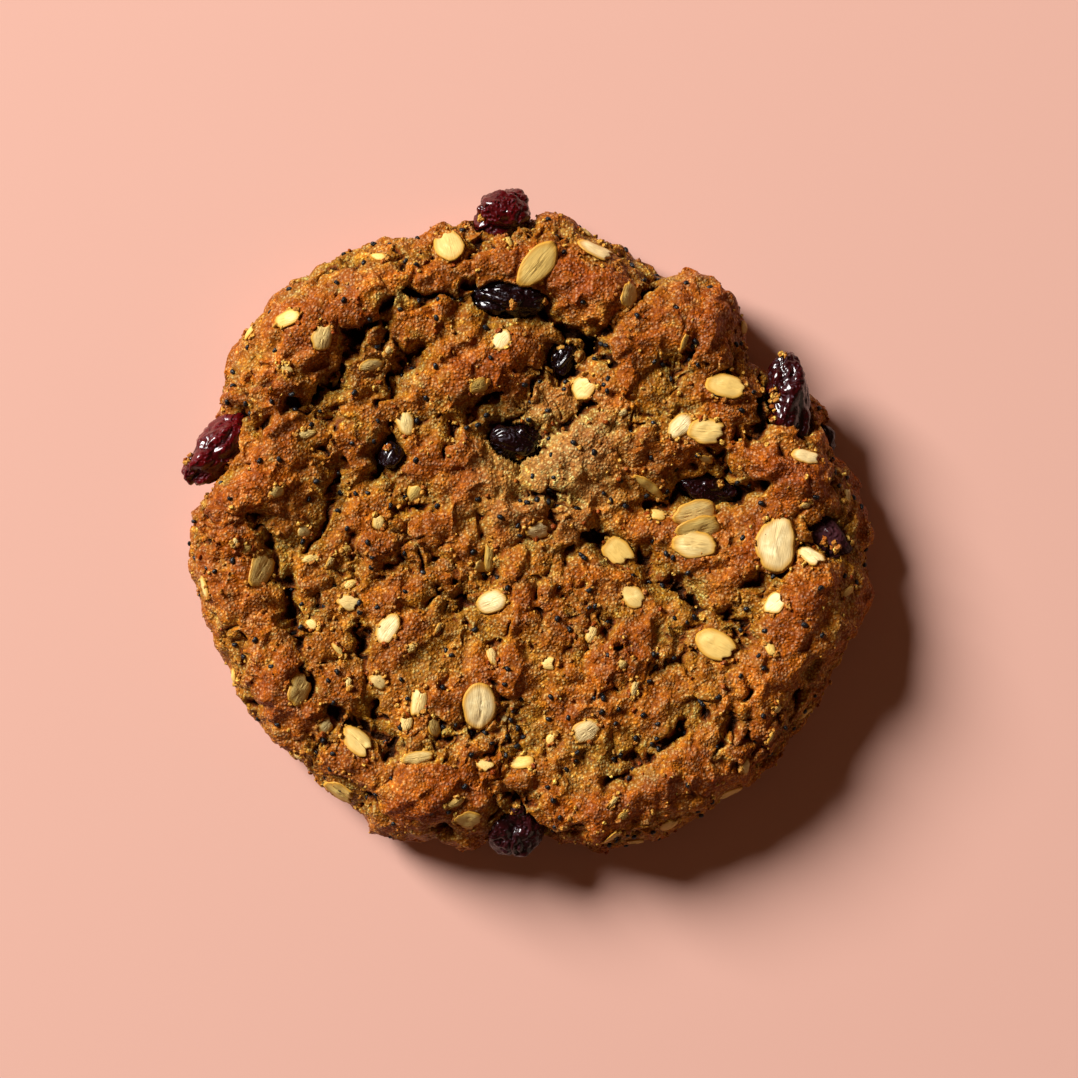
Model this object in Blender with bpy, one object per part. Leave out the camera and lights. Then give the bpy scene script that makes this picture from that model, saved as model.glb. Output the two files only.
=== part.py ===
"""An oat and cranberry cookie with poppy seeds, about 102 mm across and 17 mm high.

The dough is one flat-bottomed loaf of crust with a rounded shoulder, a raised rim, lumps and
cracks. Rolled oat flakes and the largest poppy seeds are fused to it. Each dried cranberry is
its own solid, lying in a pocket of the dough with a thin gap round it.

Metres, +Z up. The origin is on the underside, in the middle. Millimetre tables are scaled by MM.
"""

import itertools
import math

import bmesh
import bpy
import numpy as np
from mathutils import Matrix, Vector
from mathutils.bvhtree import BVHTree

MM = 0.001

# Plain section of the dough, from the middle of the top to the edge of the underside
CREST_HEIGHT = 14.0 * MM
SHOULDER = 10.5 * MM
WIDEST_HEIGHT = 4.2 * MM
UNDERCUT = 1.8 * MM
ROUNDING = 0.86
FLAT_END = 0.66
SHOULDER_END = 0.93
SLOPE_STEP = 0.001
FOOT_BAND = 0.05
FOOT_RELIEF = 0.15

# Radius of the outline every 12 degrees, anticlockwise from +X, in millimetres
OUTLINE = (50.9, 48.2, 48.2, 43.2, 45.4, 43.9, 44.6, 47.0, 47.3, 46.8,
           48.9, 50.5, 50.6, 49.6, 49.0, 50.3, 50.8, 50.6, 50.7, 50.1,
           50.4, 49.3, 49.0, 48.9, 51.4, 51.2, 51.9, 51.8, 51.4, 51.9)

# Raised rim and sunken middle
RIM_INSET = 8.5 * MM
RIM_WIDTH = 4.2 * MM
RIM_RISE = 1.5 * MM
DISH_RADIUS = 34.0 * MM
DISH_DEPTH = 1.3 * MM

# Folds, lumps, nodules and crumbs of the crust: the size of each kind and how far it rises
FOLD_SIZE = 15.0 * MM
FOLD_RISE = 1.0 * MM
FOLD_TURN = math.radians(38)
FOLD_STRETCH = 1.6
LUMP_SIZE = 9.0 * MM
LUMP_RISE = 2.8 * MM
NODULE_SIZE = 4.2 * MM
NODULE_RISE = 2.0 * MM
CRUMB_SIZE = 2.0 * MM
CRUMB_RISE = 0.7 * MM
COBBLE_SIZE = 3.4 * MM
COBBLE_RISE = 0.8 * MM
COBBLE_EDGE = 0.4
COBBLE_LEVEL = 0.6
POCK_SIZE = 3.0 * MM
POCK_SHARE = 0.75
POCK_DEPTH = 1.2 * MM
LUMP_LEVEL = 0.3
NOISE_GAIN = 1.5
ROUGH_PATCH = 13.0 * MM
ROUGH_MEAN = 0.65
ROUGH_SWING = 0.6
ROUGH_LIMITS = (0.25, 1.1)
WANDER_SIZE = 7.0 * MM
WANDER = 1.6 * MM
RAGGED_SIZE = 2.6 * MM
RAGGED = 1.2 * MM
CRACK_SPREAD = 1.2
CRACK_BREAK = 3.5 * MM
CRACK_SWING = 0.5
MOUND_SPREAD = 1.15
RIDGE_SPREAD = 1.8
EDGE_CRAG_SIZE = 7.0 * MM
EDGE_CRAG = 0.6 * MM

# Mounds: x, y, radius, rise in millimetres
MOUNDS = ((-36.5, 27.0, 9.0, 1.6), (-21.5, 36.0, 6.0, 1.2), (-9.0, 24.0, 7.0, 1.7),
          (11.0, 35.5, 7.0, 1.4), (25.5, 31.0, 9.0, 1.9), (18.0, 13.0, 9.5, 1.9),
          (-9.5, 11.0, 5.5, 1.9), (-15.0, 9.0, 4.5, 1.1), (9.0, -22.0, 13.0, 1.7),
          (32.0, -5.0, 8.0, 1.0), (-34.0, -22.0, 8.0, 1.7), (-14.5, -40.0, 8.0, 1.3),
          (24.5, -37.5, 8.5, 1.1), (41.5, -14.0, 8.5, 1.2), (-3.0, -4.5, 5.0, 1.1))

# Ridges: start x, y, end x, y, width, rise in millimetres
RIDGES = ((13.5, 30.5, 24.5, 36.5, 1.6, 1.3), (-5.0, -21.5, -1.0, -12.5, 2.2, 1.2),
          (-1.0, -12.5, 13.0, -5.5, 2.2, 1.3), (-23.5, 30.0, -8.0, 31.5, 2.0, 0.9),
          (29.0, 11.0, 35.5, 8.5, 2.0, 1.2), (-43.5, 3.5, -33.0, 5.5, 2.6, 1.0))

# Cracks: start x, y, end x, y, width, depth in millimetres
CRACKS = ((-40.0, 14.0, -28.5, 20.0, 1.7, 1.9), (-28.5, 20.0, -26.0, 29.0, 1.9, 2.6),
          (-26.0, 28.5, -17.5, 33.5, 1.8, 2.4), (-17.5, 33.5, -7.5, 34.5, 1.8, 2.0),
          (-19.5, 41.5, -17.0, 34.0, 1.2, 1.2), (2.0, 32.5, 9.5, 27.0, 1.9, 2.9),
          (9.0, 28.0, 12.5, 23.0, 1.8, 2.8), (-22.0, 18.0, -15.5, 26.0, 1.7, 2.0),
          (-13.0, 11.0, -5.5, 19.0, 1.5, 1.9), (-23.0, 7.0, -20.0, 14.5, 1.5, 1.8),
          (-20.0, 1.5, -11.5, 4.0, 1.5, 1.5), (-18.5, -13.0, -12.5, -9.5, 1.4, 1.3),
          (-6.5, 1.5, -6.0, -8.0, 1.3, 1.5), (-3.5, -14.0, -5.5, -25.5, 1.2, 1.2),
          (-39.5, 1.0, -35.5, -13.0, 1.8, 1.8), (-35.5, -13.0, -29.0, -28.0, 1.8, 1.8),
          (-29.0, -28.0, -20.0, -33.5, 1.7, 1.9), (-24.5, -17.0, -21.5, -28.5, 1.4, 1.4),
          (-28.0, 8.0, -31.5, -3.0, 1.7, 1.5), (19.0, 2.0, 26.5, 5.0, 1.9, 3.0),
          (26.5, 5.0, 35.0, 5.0, 2.2, 3.6), (27.0, 10.5, 35.0, 6.5, 1.7, 2.2),
          (10.0, -2.0, 25.5, -11.0, 3.2, 2.6), (25.5, -11.0, 32.5, -15.5, 1.7, 1.5),
          (9.0, -40.5, 24.0, -28.5, 1.5, 1.5), (28.0, -31.5, 37.0, -18.0, 1.5, 1.4),
          (-25.5, -41.5, -9.0, -45.0, 1.5, 1.3), (11.5, 29.0, 20.0, 38.0, 1.3, 1.6),
          (37.0, 28.0, 31.0, 23.0, 1.6, 2.0), (31.0, 23.0, 24.5, 24.0, 1.3, 1.2),
          (-8.5, 39.5, -6.0, 44.0, 1.5, 1.8), (34.5, 13.0, 36.0, 21.5, 1.4, 1.6))

# Dried cranberries: x, y, height of the centre, length, width, thickness in millimetres,
# turn from +X, tip of the front end and roll about the length in degrees, depth of the dip
# in the crust round it in millimetres
CRANBERRIES = {
    "cranberry_left": (-45.3, 11.0, 9.6, 14.2, 7.6, 6.6, 40, -6, 20, 1.5),
    "cranberry_top": (-3.4, 45.8, 7.8, 9.2, 8.6, 7.2, 4, 0, 0, 0.3),
    "cranberry_upper_middle": (-2.9, 33.6, 10.8, 12.0, 6.0, 5.6, -5, 3, 0, 1.6),
    "cranberry_centre": (-1.8, 11.9, 9.6, 8.8, 6.2, 5.6, -10, 0, 15, 1.6),
    "cranberry_right_upper": (38.9, 18.0, 10.4, 16.2, 7.4, 6.8, 92, 0, 15, 1.6),
    "cranberry_right_middle": (26.8, 5.8, 8.1, 10.0, 5.2, 5.0, -18, 0, 0, 1.6),
    "cranberry_right_lower": (44.2, -1.2, 10.8, 9.6, 4.8, 5.2, -42, 8, 25, 1.6),
    "cranberry_bottom": (-1.4, -45.1, 9.0, 9.4, 8.4, 6.8, 78, 0, 0, 1.8),
    "cranberry_small_upper": (5.6, 24.4, 9.8, 5.6, 4.2, 4.0, 60, 0, 0, 1.5),
    "cranberry_small_left": (-20.4, 10.3, 10.8, 4.8, 3.8, 3.6, 70, 0, 0, 1.4),
    "cranberry_edge_tip": (44.5, 12.8, 5.8, 5.2, 3.8, 4.0, 108, 0, 0, 0.8),
}
CRANBERRY_RINGS = 8
CRANBERRY_AROUND = 9
WRINKLE_RISE = 0.10
BERRY_FULLNESS = 0.8
BERRY_BEND = 0.16
POCKET_GAP = 0.42 * MM
DIP_MARGIN = 1.4 * MM

# Oat flakes with a place of their own: x, y, length, width in millimetres,
# turn from +X and tilt about the length in degrees
FLAKES = (
    # upper third
    (-11.5, 41.2, 6.2, 4.6, 105, 0), (1.6, 38.2, 8.2, 4.4, 50, 12), (10.5, 40.2, 6.9, 3.9, -18, 0),
    (15.0, 33.9, 4.3, 3.4, 70, 8), (-3.7, 27.3, 3.5, 2.7, 60, 0), (8.5, 20.4, 4.4, 3.6, 40, 0),
    (29.5, 20.4, 6.3, 4.2, -8, 0), (22.6, 14.5, 4.7, 3.0, 45, 0), (26.9, 13.8, 6.4, 3.8, -5, -8),
    (-35.1, 30.3, 4.4, 2.7, 12, 0), (-30.0, 27.6, 4.4, 3.2, 75, 0),
    # middle third
    (41.3, 10.0, 5.0, 2.6, -5, 0), (18.1, 5.9, 6.0, 2.2, -42, 30), (24.8, 1.2, 7.0, 4.0, 18, 48),
    (25.4, -0.9, 7.0, 4.2, 14, 42), (24.8, -3.0, 6.6, 4.4, -8, 14), (36.6, -2.7, 8.6, 6.0, 80, 0),
    (41.9, -4.7, 4.5, 3.1, -40, 0), (36.6, -11.6, 3.9, 3.2, 45, 0), (1.8, -0.7, 4.2, 2.9, 15, 0),
    (-5.1, -11.4, 4.8, 3.5, 20, 0), (15.8, -10.7, 4.7, 3.4, -40, 0), (13.7, -4.2, 5.6, 4.0, -45, 10),
    (-20.4, -15.4, 5.0, 3.0, 55, 0), (-39.2, -6.5, 6.0, 4.0, 60, 0), (-16.6, 4.8, 3.6, 2.3, 60, 0),
    # lower third
    (-7.0, -26.7, 7.3, 5.0, 84, 0), (27.9, -17.8, 6.8, 4.4, -30, 0), (8.8, -30.4, 4.4, 3.3, 35, 0),
    (-24.8, -32.2, 6.2, 3.7, -45, 10), (-27.3, -39.8, 6.1, 4.2, -40, 0), (-16.1, -34.4, 5.0, 2.0, 15, 25),
    (-8.5, -43.6, 4.6, 3.1, -15, 0), (12.8, -45.8, 4.8, 2.8, 60, 12), (30.0, -40.0, 5.2, 3.8, -20, 0),
    (21.2, -44.4, 3.7, 2.5, 60, 0), (-15.9, -25.9, 4.7, 2.6, 80, 0), (-33.5, -24.2, 5.0, 3.8, 60, 0),
)
FLAKE_THICKNESS = 1.0 * MM
FLAKE_PROUD = 0.30 * MM
FLAKE_KEEL = 1.6 * MM
FLAKE_CAMBER = 0.08
FLAKE_BLUNT = 0.12
FLAKE_BEVEL = 0.74
FLAKE_SIDES = 8
REST_PROBES = 8
REST_REACH = 0.35

# Broken bits of flake, and poppy seeds, spread by a rule
BITS = 8
BIT_LENGTH = (2.4 * MM, 3.2 * MM)
BIT_WIDTH = 0.75
BIT_SPACING = 9.0 * MM
SEEDS = 42
SEED_RADIUS = 0.46 * MM
SEED_SPACING = 8.0 * MM
SEED_SQUASH = (1.0, 0.84, 0.80)
SEED_STANDS = 0.35
SEED_TILT = 0.4
BERRY_CLEARANCE = 1.2 * MM
SKY = 1.0
SCATTER_REACH = 0.88
SCATTER_TRIES = 6000
SCATTER_SEED = 7

# Mesh sizes
GRID = 112
DOUGH_TRIANGLES = 4450
UNDERSIDE_SNAP = 0.25 * MM

# Colours, linear, and roughnesses
CRUST_COLOUR = (0.42, 0.17, 0.05, 1.0)
CRUST_ROUGHNESS = 0.85
CRANBERRY_COLOUR = (0.09, 0.008, 0.010, 1.0)
CRANBERRY_ROUGHNESS = 0.25


def clear_scene():
    """Start with nothing in the file."""
    for obj in list(bpy.data.objects):
        bpy.data.objects.remove(obj, do_unlink=True)


def material(name, colour, roughness):
    """A plain Principled material."""
    result = bpy.data.materials.new(name)
    result.use_nodes = True
    shader = result.node_tree.nodes["Principled BSDF"]
    shader.inputs["Base Color"].default_value = colour
    shader.inputs["Roughness"].default_value = roughness
    shader.inputs["Metallic"].default_value = 0.0
    result.diffuse_color = colour
    return result


def hashed(cell, seed):
    """A repeatable number from 0 to 1 for each whole-number cell."""
    whole = cell.astype(np.int64)
    mixed = whole[..., 0] * 73856093 ^ whole[..., 1] * 19349663 ^ whole[..., 2] * 83492791
    mixed = (mixed ^ (seed * 668265263)) & 0xFFFFFFFF
    mixed = ((mixed ^ (mixed >> 15)) * 2246822519) & 0xFFFFFFFF
    mixed = ((mixed ^ (mixed >> 13)) * 3266489917) & 0xFFFFFFFF
    mixed = mixed ^ (mixed >> 16)
    return mixed / float(0xFFFFFFFF)


def rolling(points, size, seed):
    """Soft rolling noise from about -1 to 1 whose swells are about size wide. The seed picks
    the pattern."""
    scaled = points / size
    base = np.floor(scaled)
    part = scaled - base
    fade = part ** 3 * (part * (part * 6.0 - 15.0) + 10.0)
    total = np.zeros(len(points))
    for corner in itertools.product((0, 1), repeat=3):
        cell = base + corner
        slope = np.stack([hashed(cell, seed + axis) for axis in range(3)], axis=1) * 2.0 - 1.0
        share = np.where(np.array(corner) == 1, fade, 1.0 - fade).prod(axis=1)
        total += share * (slope * (part - corner)).sum(axis=1)
    return NOISE_GAIN * total


def billows(points, size, seed):
    """Rounded lumps with sharp creases between them: about 0 in a crease, 1 on a high lump."""
    return np.abs(rolling(points, size, seed))


def cobbles(points, size, seed):
    """Rounded crumbs packed side by side: 1 on a crumb, falling to 0 in the creases between."""
    scaled = points / size
    base = np.floor(scaled)
    nearest = np.full(len(points), 9.0)
    second = np.full(len(points), 9.0)
    for step in itertools.product((-1, 0, 1), repeat=3):
        cell = base + step
        centre = cell + np.stack([hashed(cell, seed + axis) for axis in range(3)], axis=1)
        distance = np.linalg.norm(scaled - centre, axis=1)
        second = np.minimum(second, np.maximum(nearest, distance))
        nearest = np.minimum(nearest, distance)
    return 1.0 - step_down(second - nearest, COBBLE_EDGE)


def step_down(distance, width):
    """1 inside a crack, falling steeply to 0 at its lip."""
    share = np.clip(distance / width, 0.0, 1.0)
    return 1.0 - share * share * (3.0 - 2.0 * share)


def outline_radius(angle):
    """Radius of the dough's widest line, smooth through the named radii, with small crags."""
    radii = np.array(OUTLINE) * MM
    count = len(radii)
    place = np.mod(angle, 2.0 * np.pi) / (2.0 * np.pi) * count
    knot = np.floor(place).astype(int)
    part = place - knot
    before, start, end, after = (radii[(knot + step) % count] for step in (-1, 0, 1, 2))
    smooth = start + 0.5 * part * (
        end - before + part * (2 * before - 5 * start + 4 * end - after
                               + part * (3 * (start - end) + after - before)))
    on_edge = np.stack([np.cos(angle), np.sin(angle), np.zeros_like(angle)], axis=1) * smooth[:, None]
    return smooth + EDGE_CRAG * rolling(on_edge, EDGE_CRAG_SIZE, 5)


def section(reach, radius):
    """Distance out and height of the plain section: reach is 0 in the middle of the top,
    and 1 at the edge of the underside."""
    turn = np.clip((reach - FLAT_END) / (SHOULDER_END - FLAT_END), 0.0, 1.0) * np.pi / 2
    tuck = np.clip((reach - SHOULDER_END) / (1.0 - SHOULDER_END), 0.0, 1.0) * np.pi / 2
    flat = np.clip(reach / FLAT_END, 0.0, 1.0) * (radius - SHOULDER)
    out = flat + SHOULDER * np.sin(turn) ** ROUNDING - UNDERCUT * (1.0 - np.cos(tuck))
    fall = np.clip(np.cos(turn), 0.0, 1.0) ** ROUNDING
    height = WIDEST_HEIGHT * (1.0 - np.sin(tuck)) + (CREST_HEIGHT - WIDEST_HEIGHT) * fall
    return out, height


def from_segment(flat, x0, y0, x1, y1):
    """Distance of each flat point from a straight line between two places in millimetres."""
    start = np.array((x0, y0)) * MM
    along = np.array((x1, y1)) * MM - start
    share = np.clip((flat - start) @ along / (along @ along), 0.0, 1.0)
    return np.linalg.norm(flat - start - share[:, None] * along, axis=1)


def berry_frame(name):
    """Centre, half sizes and axes of a cranberry."""
    x, y, z, length, width, thickness, turn, tip, roll, _ = CRANBERRIES[name]
    axes = (Matrix.Rotation(math.radians(turn), 3, "Z")
            @ Matrix.Rotation(math.radians(-tip), 3, "Y")
            @ Matrix.Rotation(math.radians(roll), 3, "X"))
    halves = np.array((length, width, thickness)) * MM / 2.0
    return np.array((x, y, z)) * MM, halves, np.array(axes)


def from_berry(points, name, flat):
    """Distance of each point outside a cranberry, or seen from above outside its shadow."""
    centre, halves, axes = berry_frame(name)
    local = (points - centre) @ axes
    if flat:
        offset = points[:, :2] - centre[:2]
        local = np.column_stack([offset @ axes[:2, 0], offset @ axes[:2, 1], np.zeros(len(points))])
    scale = np.linalg.norm(local / halves, axis=1)
    return np.linalg.norm(local, axis=1) * (1.0 - 1.0 / np.maximum(scale, 1e-6))


def wandered(points, size, amount, seed):
    """The places moved a little to and fro, so that what is drawn with them is uneven."""
    shift = np.stack([rolling(points, size, seed + 3 * axis) for axis in range(3)], axis=1)
    return points + amount * shift


def relief(points, inset):
    """How far the crust stands out from the plain section at each place on it."""
    bent = wandered(points, WANDER_SIZE, WANDER, 41)
    ragged = wandered(bent, RAGGED_SIZE, RAGGED, 61)
    along = np.array((math.cos(FOLD_TURN), math.sin(FOLD_TURN), 0.0))
    stretched = bent - (bent @ along)[:, None] * along * (1.0 - 1.0 / FOLD_STRETCH)
    roughness = np.clip(ROUGH_MEAN + ROUGH_SWING * rolling(points, ROUGH_PATCH, 17), *ROUGH_LIMITS)
    rise = FOLD_RISE * rolling(stretched, FOLD_SIZE, 11)
    rise += LUMP_RISE * (billows(stretched, LUMP_SIZE, 21) - LUMP_LEVEL)
    rise += NODULE_RISE * roughness * (billows(bent, NODULE_SIZE, 31) - LUMP_LEVEL)
    rise += CRUMB_RISE * roughness * (billows(ragged, CRUMB_SIZE, 35) - LUMP_LEVEL)
    rise += COBBLE_RISE * roughness * (cobbles(ragged, COBBLE_SIZE, 51) - COBBLE_LEVEL)
    pocked = step_down(rolling(ragged, POCK_SIZE, 71) + 1.0, POCK_SHARE)
    rise -= POCK_DEPTH * roughness * pocked
    rise += RIM_RISE * np.exp(-((inset - RIM_INSET) / RIM_WIDTH) ** 2)
    from_middle = np.linalg.norm(points[:, :2], axis=1)
    rise -= DISH_DEPTH * np.exp(-(from_middle / DISH_RADIUS) ** 4)
    flat = ragged[:, :2]
    for x, y, radius, height in MOUNDS:
        distance = np.linalg.norm(flat - np.array((x, y)) * MM, axis=1)
        rise += height * MM * step_down(distance, MOUND_SPREAD * radius * MM)
    for *ends, width, height in RIDGES:
        rise += height * MM * step_down(from_segment(flat, *ends), RIDGE_SPREAD * width * MM)
    gape = CRACK_SPREAD * (1.0 + CRACK_SWING * rolling(points, CRACK_BREAK, 81))
    sink = 1.0 + CRACK_SWING * rolling(points, CRACK_BREAK, 85)
    for *ends, width, depth in CRACKS:
        rise -= depth * MM * sink * step_down(from_segment(flat, *ends), gape * width * MM)
    for name, (*_, dip) in CRANBERRIES.items():
        distance = np.maximum(from_berry(points, name, flat=True), 0.0)
        rise -= dip * MM * np.exp(-(distance / DIP_MARGIN) ** 2)
    return rise


def crust_points(angle, reach):
    """Places on the finished crust."""
    radius = outline_radius(angle)
    out, height = section(reach, radius)
    ahead_out, ahead_height = section(np.minimum(reach + SLOPE_STEP, 1.0), radius)
    back_out, back_height = section(np.maximum(reach - SLOPE_STEP, 0.0), radius)
    slope_out = back_height - ahead_height
    slope_up = np.maximum(ahead_out - back_out, 0.0)
    length = np.hypot(slope_out, slope_up)
    compass = np.stack([np.cos(angle), np.sin(angle)], axis=1)
    base = np.column_stack([compass * out[:, None], height])
    normal = np.column_stack([compass * (slope_out / length)[:, None], slope_up / length])
    settled = np.clip((1.0 - reach) / FOOT_BAND, FOOT_RELIEF, 1.0)
    moved = base + normal * (settled * relief(base, radius - out))[:, None]
    moved[:, 2] = np.maximum(moved[:, 2], 0.0)
    return moved


def disc_grid(count):
    """A square grid of count by count cells bent into a disc: angle and reach of each corner."""
    a, b = np.meshgrid(np.linspace(-1, 1, count + 1), np.linspace(-1, 1, count + 1), indexing="ij")
    wide = np.abs(a) > np.abs(b)
    with np.errstate(divide="ignore", invalid="ignore"):
        angle = np.where(wide, np.pi / 4 * b / a, np.pi / 2 - np.pi / 4 * a / b)
    reach = np.where(wide, a, b)
    angle = np.where(reach == 0, 0.0, np.where(reach < 0, angle + np.pi, angle))
    return angle.ravel(), np.abs(reach).ravel()


def grid_faces(count):
    """The quads of the grid, and the loop of corners round its edge."""
    row = count + 1
    faces = [(i * row + j, (i + 1) * row + j, (i + 1) * row + j + 1, i * row + j + 1)
             for i in range(count) for j in range(count)]
    edge = [i * row for i in range(count)]
    edge += [count * row + j for j in range(count)]
    edge += [i * row + count for i in range(count, 0, -1)]
    edge += list(range(count, 0, -1))
    return faces, edge


def add_object(name, mesh, look):
    """Put a mesh in the scene under a name, with its material."""
    obj = bpy.data.objects.new(name, mesh)
    mesh.materials.clear()
    mesh.materials.append(look)
    bpy.context.scene.collection.objects.link(obj)
    return obj


def apply_modifiers(obj):
    """Keep what the modifiers make, and drop the modifiers."""
    bpy.context.view_layer.update()
    graph = bpy.context.evaluated_depsgraph_get()
    mesh = bpy.data.meshes.new_from_object(obj.evaluated_get(graph))
    obj.modifiers.clear()
    obj.data = mesh


def plain_crust(look):
    """The bare crust: fine grid over the top and side, one flat face under it, then thinned."""
    angle, reach = disc_grid(GRID)
    faces, edge = grid_faces(GRID)
    points = crust_points(angle, reach)
    points[edge, 2] = 0.0
    mesh = bpy.data.meshes.new("dough")
    mesh.from_pydata(points.tolist(), [], faces + [tuple(reversed(edge))])
    dough = add_object("dough", mesh, look)
    triangles = 2 * len(faces) + len(edge) - 2
    thin = dough.modifiers.new("thin", "DECIMATE")
    thin.ratio = DOUGH_TRIANGLES / triangles
    apply_modifiers(dough)
    for vertex in dough.data.vertices:
        if vertex.co.z < UNDERSIDE_SNAP:
            vertex.co.z = 0.0
    return dough


def berry_mesh(name, grow):
    """A wrinkled, slightly bent egg of rings along its length, enlarged by grow all round."""
    centre, halves, axes = berry_frame(name)
    seed = sum(ord(letter) for letter in name)
    bend = BERRY_BEND * math.sin(seed)
    corners = []
    for ring in range(1, CRANBERRY_RINGS + 1):
        along = math.pi * ring / (CRANBERRY_RINGS + 1)
        for side in range(CRANBERRY_AROUND):
            around = 2.0 * math.pi * side / CRANBERRY_AROUND
            fold = 1.0 + WRINKLE_RISE * math.sin(3 * around + seed + 2.0 * along)
            fold += 0.5 * WRINKLE_RISE * math.sin(5 * around - seed + 4.0 * along)
            across = math.sin(along) ** BERRY_FULLNESS * fold
            corners.append((math.cos(along), across * math.cos(around), across * math.sin(around)))
    corners += [(1.0, 0.0, 0.0), (-1.0, 0.0, 0.0)]
    local = np.array(corners)
    local[:, 1] += bend * (1.0 - local[:, 0] ** 2)
    away = local / np.linalg.norm(local, axis=1)[:, None]
    local = local * halves + away * grow
    mesh = bpy.data.meshes.new(name)
    mesh.from_pydata((centre + local @ axes.T).tolist(), [], berry_faces())
    return mesh


def berry_faces():
    """Triangles between the rings of an egg and at its two ends."""
    faces = []
    front = CRANBERRY_RINGS * CRANBERRY_AROUND
    for side in range(CRANBERRY_AROUND):
        beside = (side + 1) % CRANBERRY_AROUND
        faces.append((front, side, beside))
        for ring in range(CRANBERRY_RINGS - 1):
            low = ring * CRANBERRY_AROUND
            high = low + CRANBERRY_AROUND
            faces.append((low + side, high + side, high + beside))
            faces.append((low + side, high + beside, low + beside))
        last = (CRANBERRY_RINGS - 1) * CRANBERRY_AROUND
        faces.append((front + 1, last + beside, last + side))
    return faces


def add_cranberries(look):
    """Every dried cranberry as a solid of its own."""
    for name in CRANBERRIES:
        mesh = berry_mesh(name, 0.0)
        mesh.shade_smooth()
        add_object(name, mesh, look)


def cut_pockets(dough, look):
    """Cut a pocket for each cranberry, a thin gap larger than the berry."""
    cutters = bpy.data.collections.new("pockets")
    bpy.context.scene.collection.children.link(cutters)
    for name in CRANBERRIES:
        mesh = berry_mesh(name, POCKET_GAP)
        mesh.materials.append(look)
        cutter = bpy.data.objects.new("pocket_" + name, mesh)
        cutters.objects.link(cutter)
    cut = dough.modifiers.new("pockets", "BOOLEAN")
    cut.operation = "DIFFERENCE"
    cut.operand_type = "COLLECTION"
    cut.collection = cutters
    apply_modifiers(dough)
    remove_collection(cutters)


def remove_collection(collection):
    """Remove a collection with its objects."""
    for obj in list(collection.objects):
        bpy.data.objects.remove(obj, do_unlink=True)
    bpy.data.collections.remove(collection)


def crust_tree(dough):
    """A search tree over the crust's faces."""
    mesh = dough.data
    corners = [vertex.co.copy() for vertex in mesh.vertices]
    return BVHTree.FromPolygons(corners, [tuple(face.vertices) for face in mesh.polygons])


def height_at(tree, x, y):
    """Height of the crust straight under a place, or None off the cookie."""
    hit = tree.ray_cast(Vector((x, y, SKY)), Vector((0.0, 0.0, -1.0)))
    return hit[0].z if hit[0] is not None else None


def resting_frame(tree, x, y, radius):
    """Centre and axes of a plane laid on the crust round a place."""
    rests = []
    for step in range(REST_PROBES):
        turn = 2.0 * math.pi * step / REST_PROBES
        probe_x = x + radius * math.cos(turn)
        probe_y = y + radius * math.sin(turn)
        height = height_at(tree, probe_x, probe_y)
        if height is not None:
            rests.append((probe_x - x, probe_y - y, height))
    middle = height_at(tree, x, y)
    rests.append((0.0, 0.0, middle))
    places = np.array(rests)
    slopes = np.column_stack([places[:, :2], np.ones(len(places))])
    east, north, level = np.linalg.lstsq(slopes, places[:, 2], rcond=None)[0]
    normal = Vector((-east, -north, 1.0)).normalized()
    return Vector((x, y, max(level, middle))), normal


def flake_object(name, tree, place, look):
    """One oat flake: a cambered oval with a keel that reaches down into the dough."""
    x, y, length, width, turn, tilt = place
    centre, normal = resting_frame(tree, x, y, REST_REACH * min(length, width))
    lay = Vector((0.0, 0.0, 1.0)).rotation_difference(normal).to_matrix()
    axes = lay @ Matrix.Rotation(math.radians(turn), 3, "Z") @ Matrix.Rotation(math.radians(tilt), 3, "X")
    build = bmesh.new()
    rings = []
    for scale, level in ((1.0, 0.0), (FLAKE_BEVEL, 0.5 * FLAKE_THICKNESS)):
        ring = []
        for side in range(FLAKE_SIDES):
            around = 2.0 * math.pi * side / FLAKE_SIDES
            along = 0.5 * length * scale * math.cos(around)
            across = 0.5 * width * scale * math.sin(around) * (1.0 + FLAKE_BLUNT * math.cos(around))
            sag = FLAKE_CAMBER * width * (2.0 * across / width) ** 2
            ring.append(build.verts.new((along, across, level - sag)))
        rings.append(ring)
    top = build.verts.new((0.0, 0.0, 0.5 * FLAKE_THICKNESS))
    keel = build.verts.new((0.0, 0.0, -FLAKE_KEEL))
    for side in range(FLAKE_SIDES):
        beside = (side + 1) % FLAKE_SIDES
        low, high = rings[0][side], rings[1][side]
        low_next, high_next = rings[0][beside], rings[1][beside]
        build.faces.new((low, low_next, high_next))
        build.faces.new((low, high_next, high))
        build.faces.new((high, high_next, top))
        build.faces.new((low_next, low, keel))
    raise_by = centre + normal * FLAKE_PROUD
    build.transform(Matrix.Translation(raise_by) @ axes.to_4x4())
    mesh = bpy.data.meshes.new(name)
    build.to_mesh(mesh)
    build.free()
    mesh.materials.append(look)
    return bpy.data.objects.new(name, mesh)


def seed_object(name, tree, x, y, draw, look):
    """One poppy seed, partly sunk in the crust."""
    centre, normal = resting_frame(tree, x, y, SEED_RADIUS)
    build = bmesh.new()
    bmesh.ops.create_icosphere(build, subdivisions=1, radius=SEED_RADIUS)
    squash = Matrix.Diagonal((*SEED_SQUASH, 1.0))
    turn = Matrix.Rotation(draw.uniform(0.0, math.pi), 4, "Z") @ Matrix.Rotation(SEED_TILT, 4, "X")
    place = centre + normal * (SEED_STANDS * SEED_RADIUS)
    build.transform(Matrix.Translation(place) @ turn @ squash)
    mesh = bpy.data.meshes.new(name)
    build.to_mesh(mesh)
    build.free()
    mesh.materials.append(look)
    return bpy.data.objects.new(name, mesh)


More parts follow.
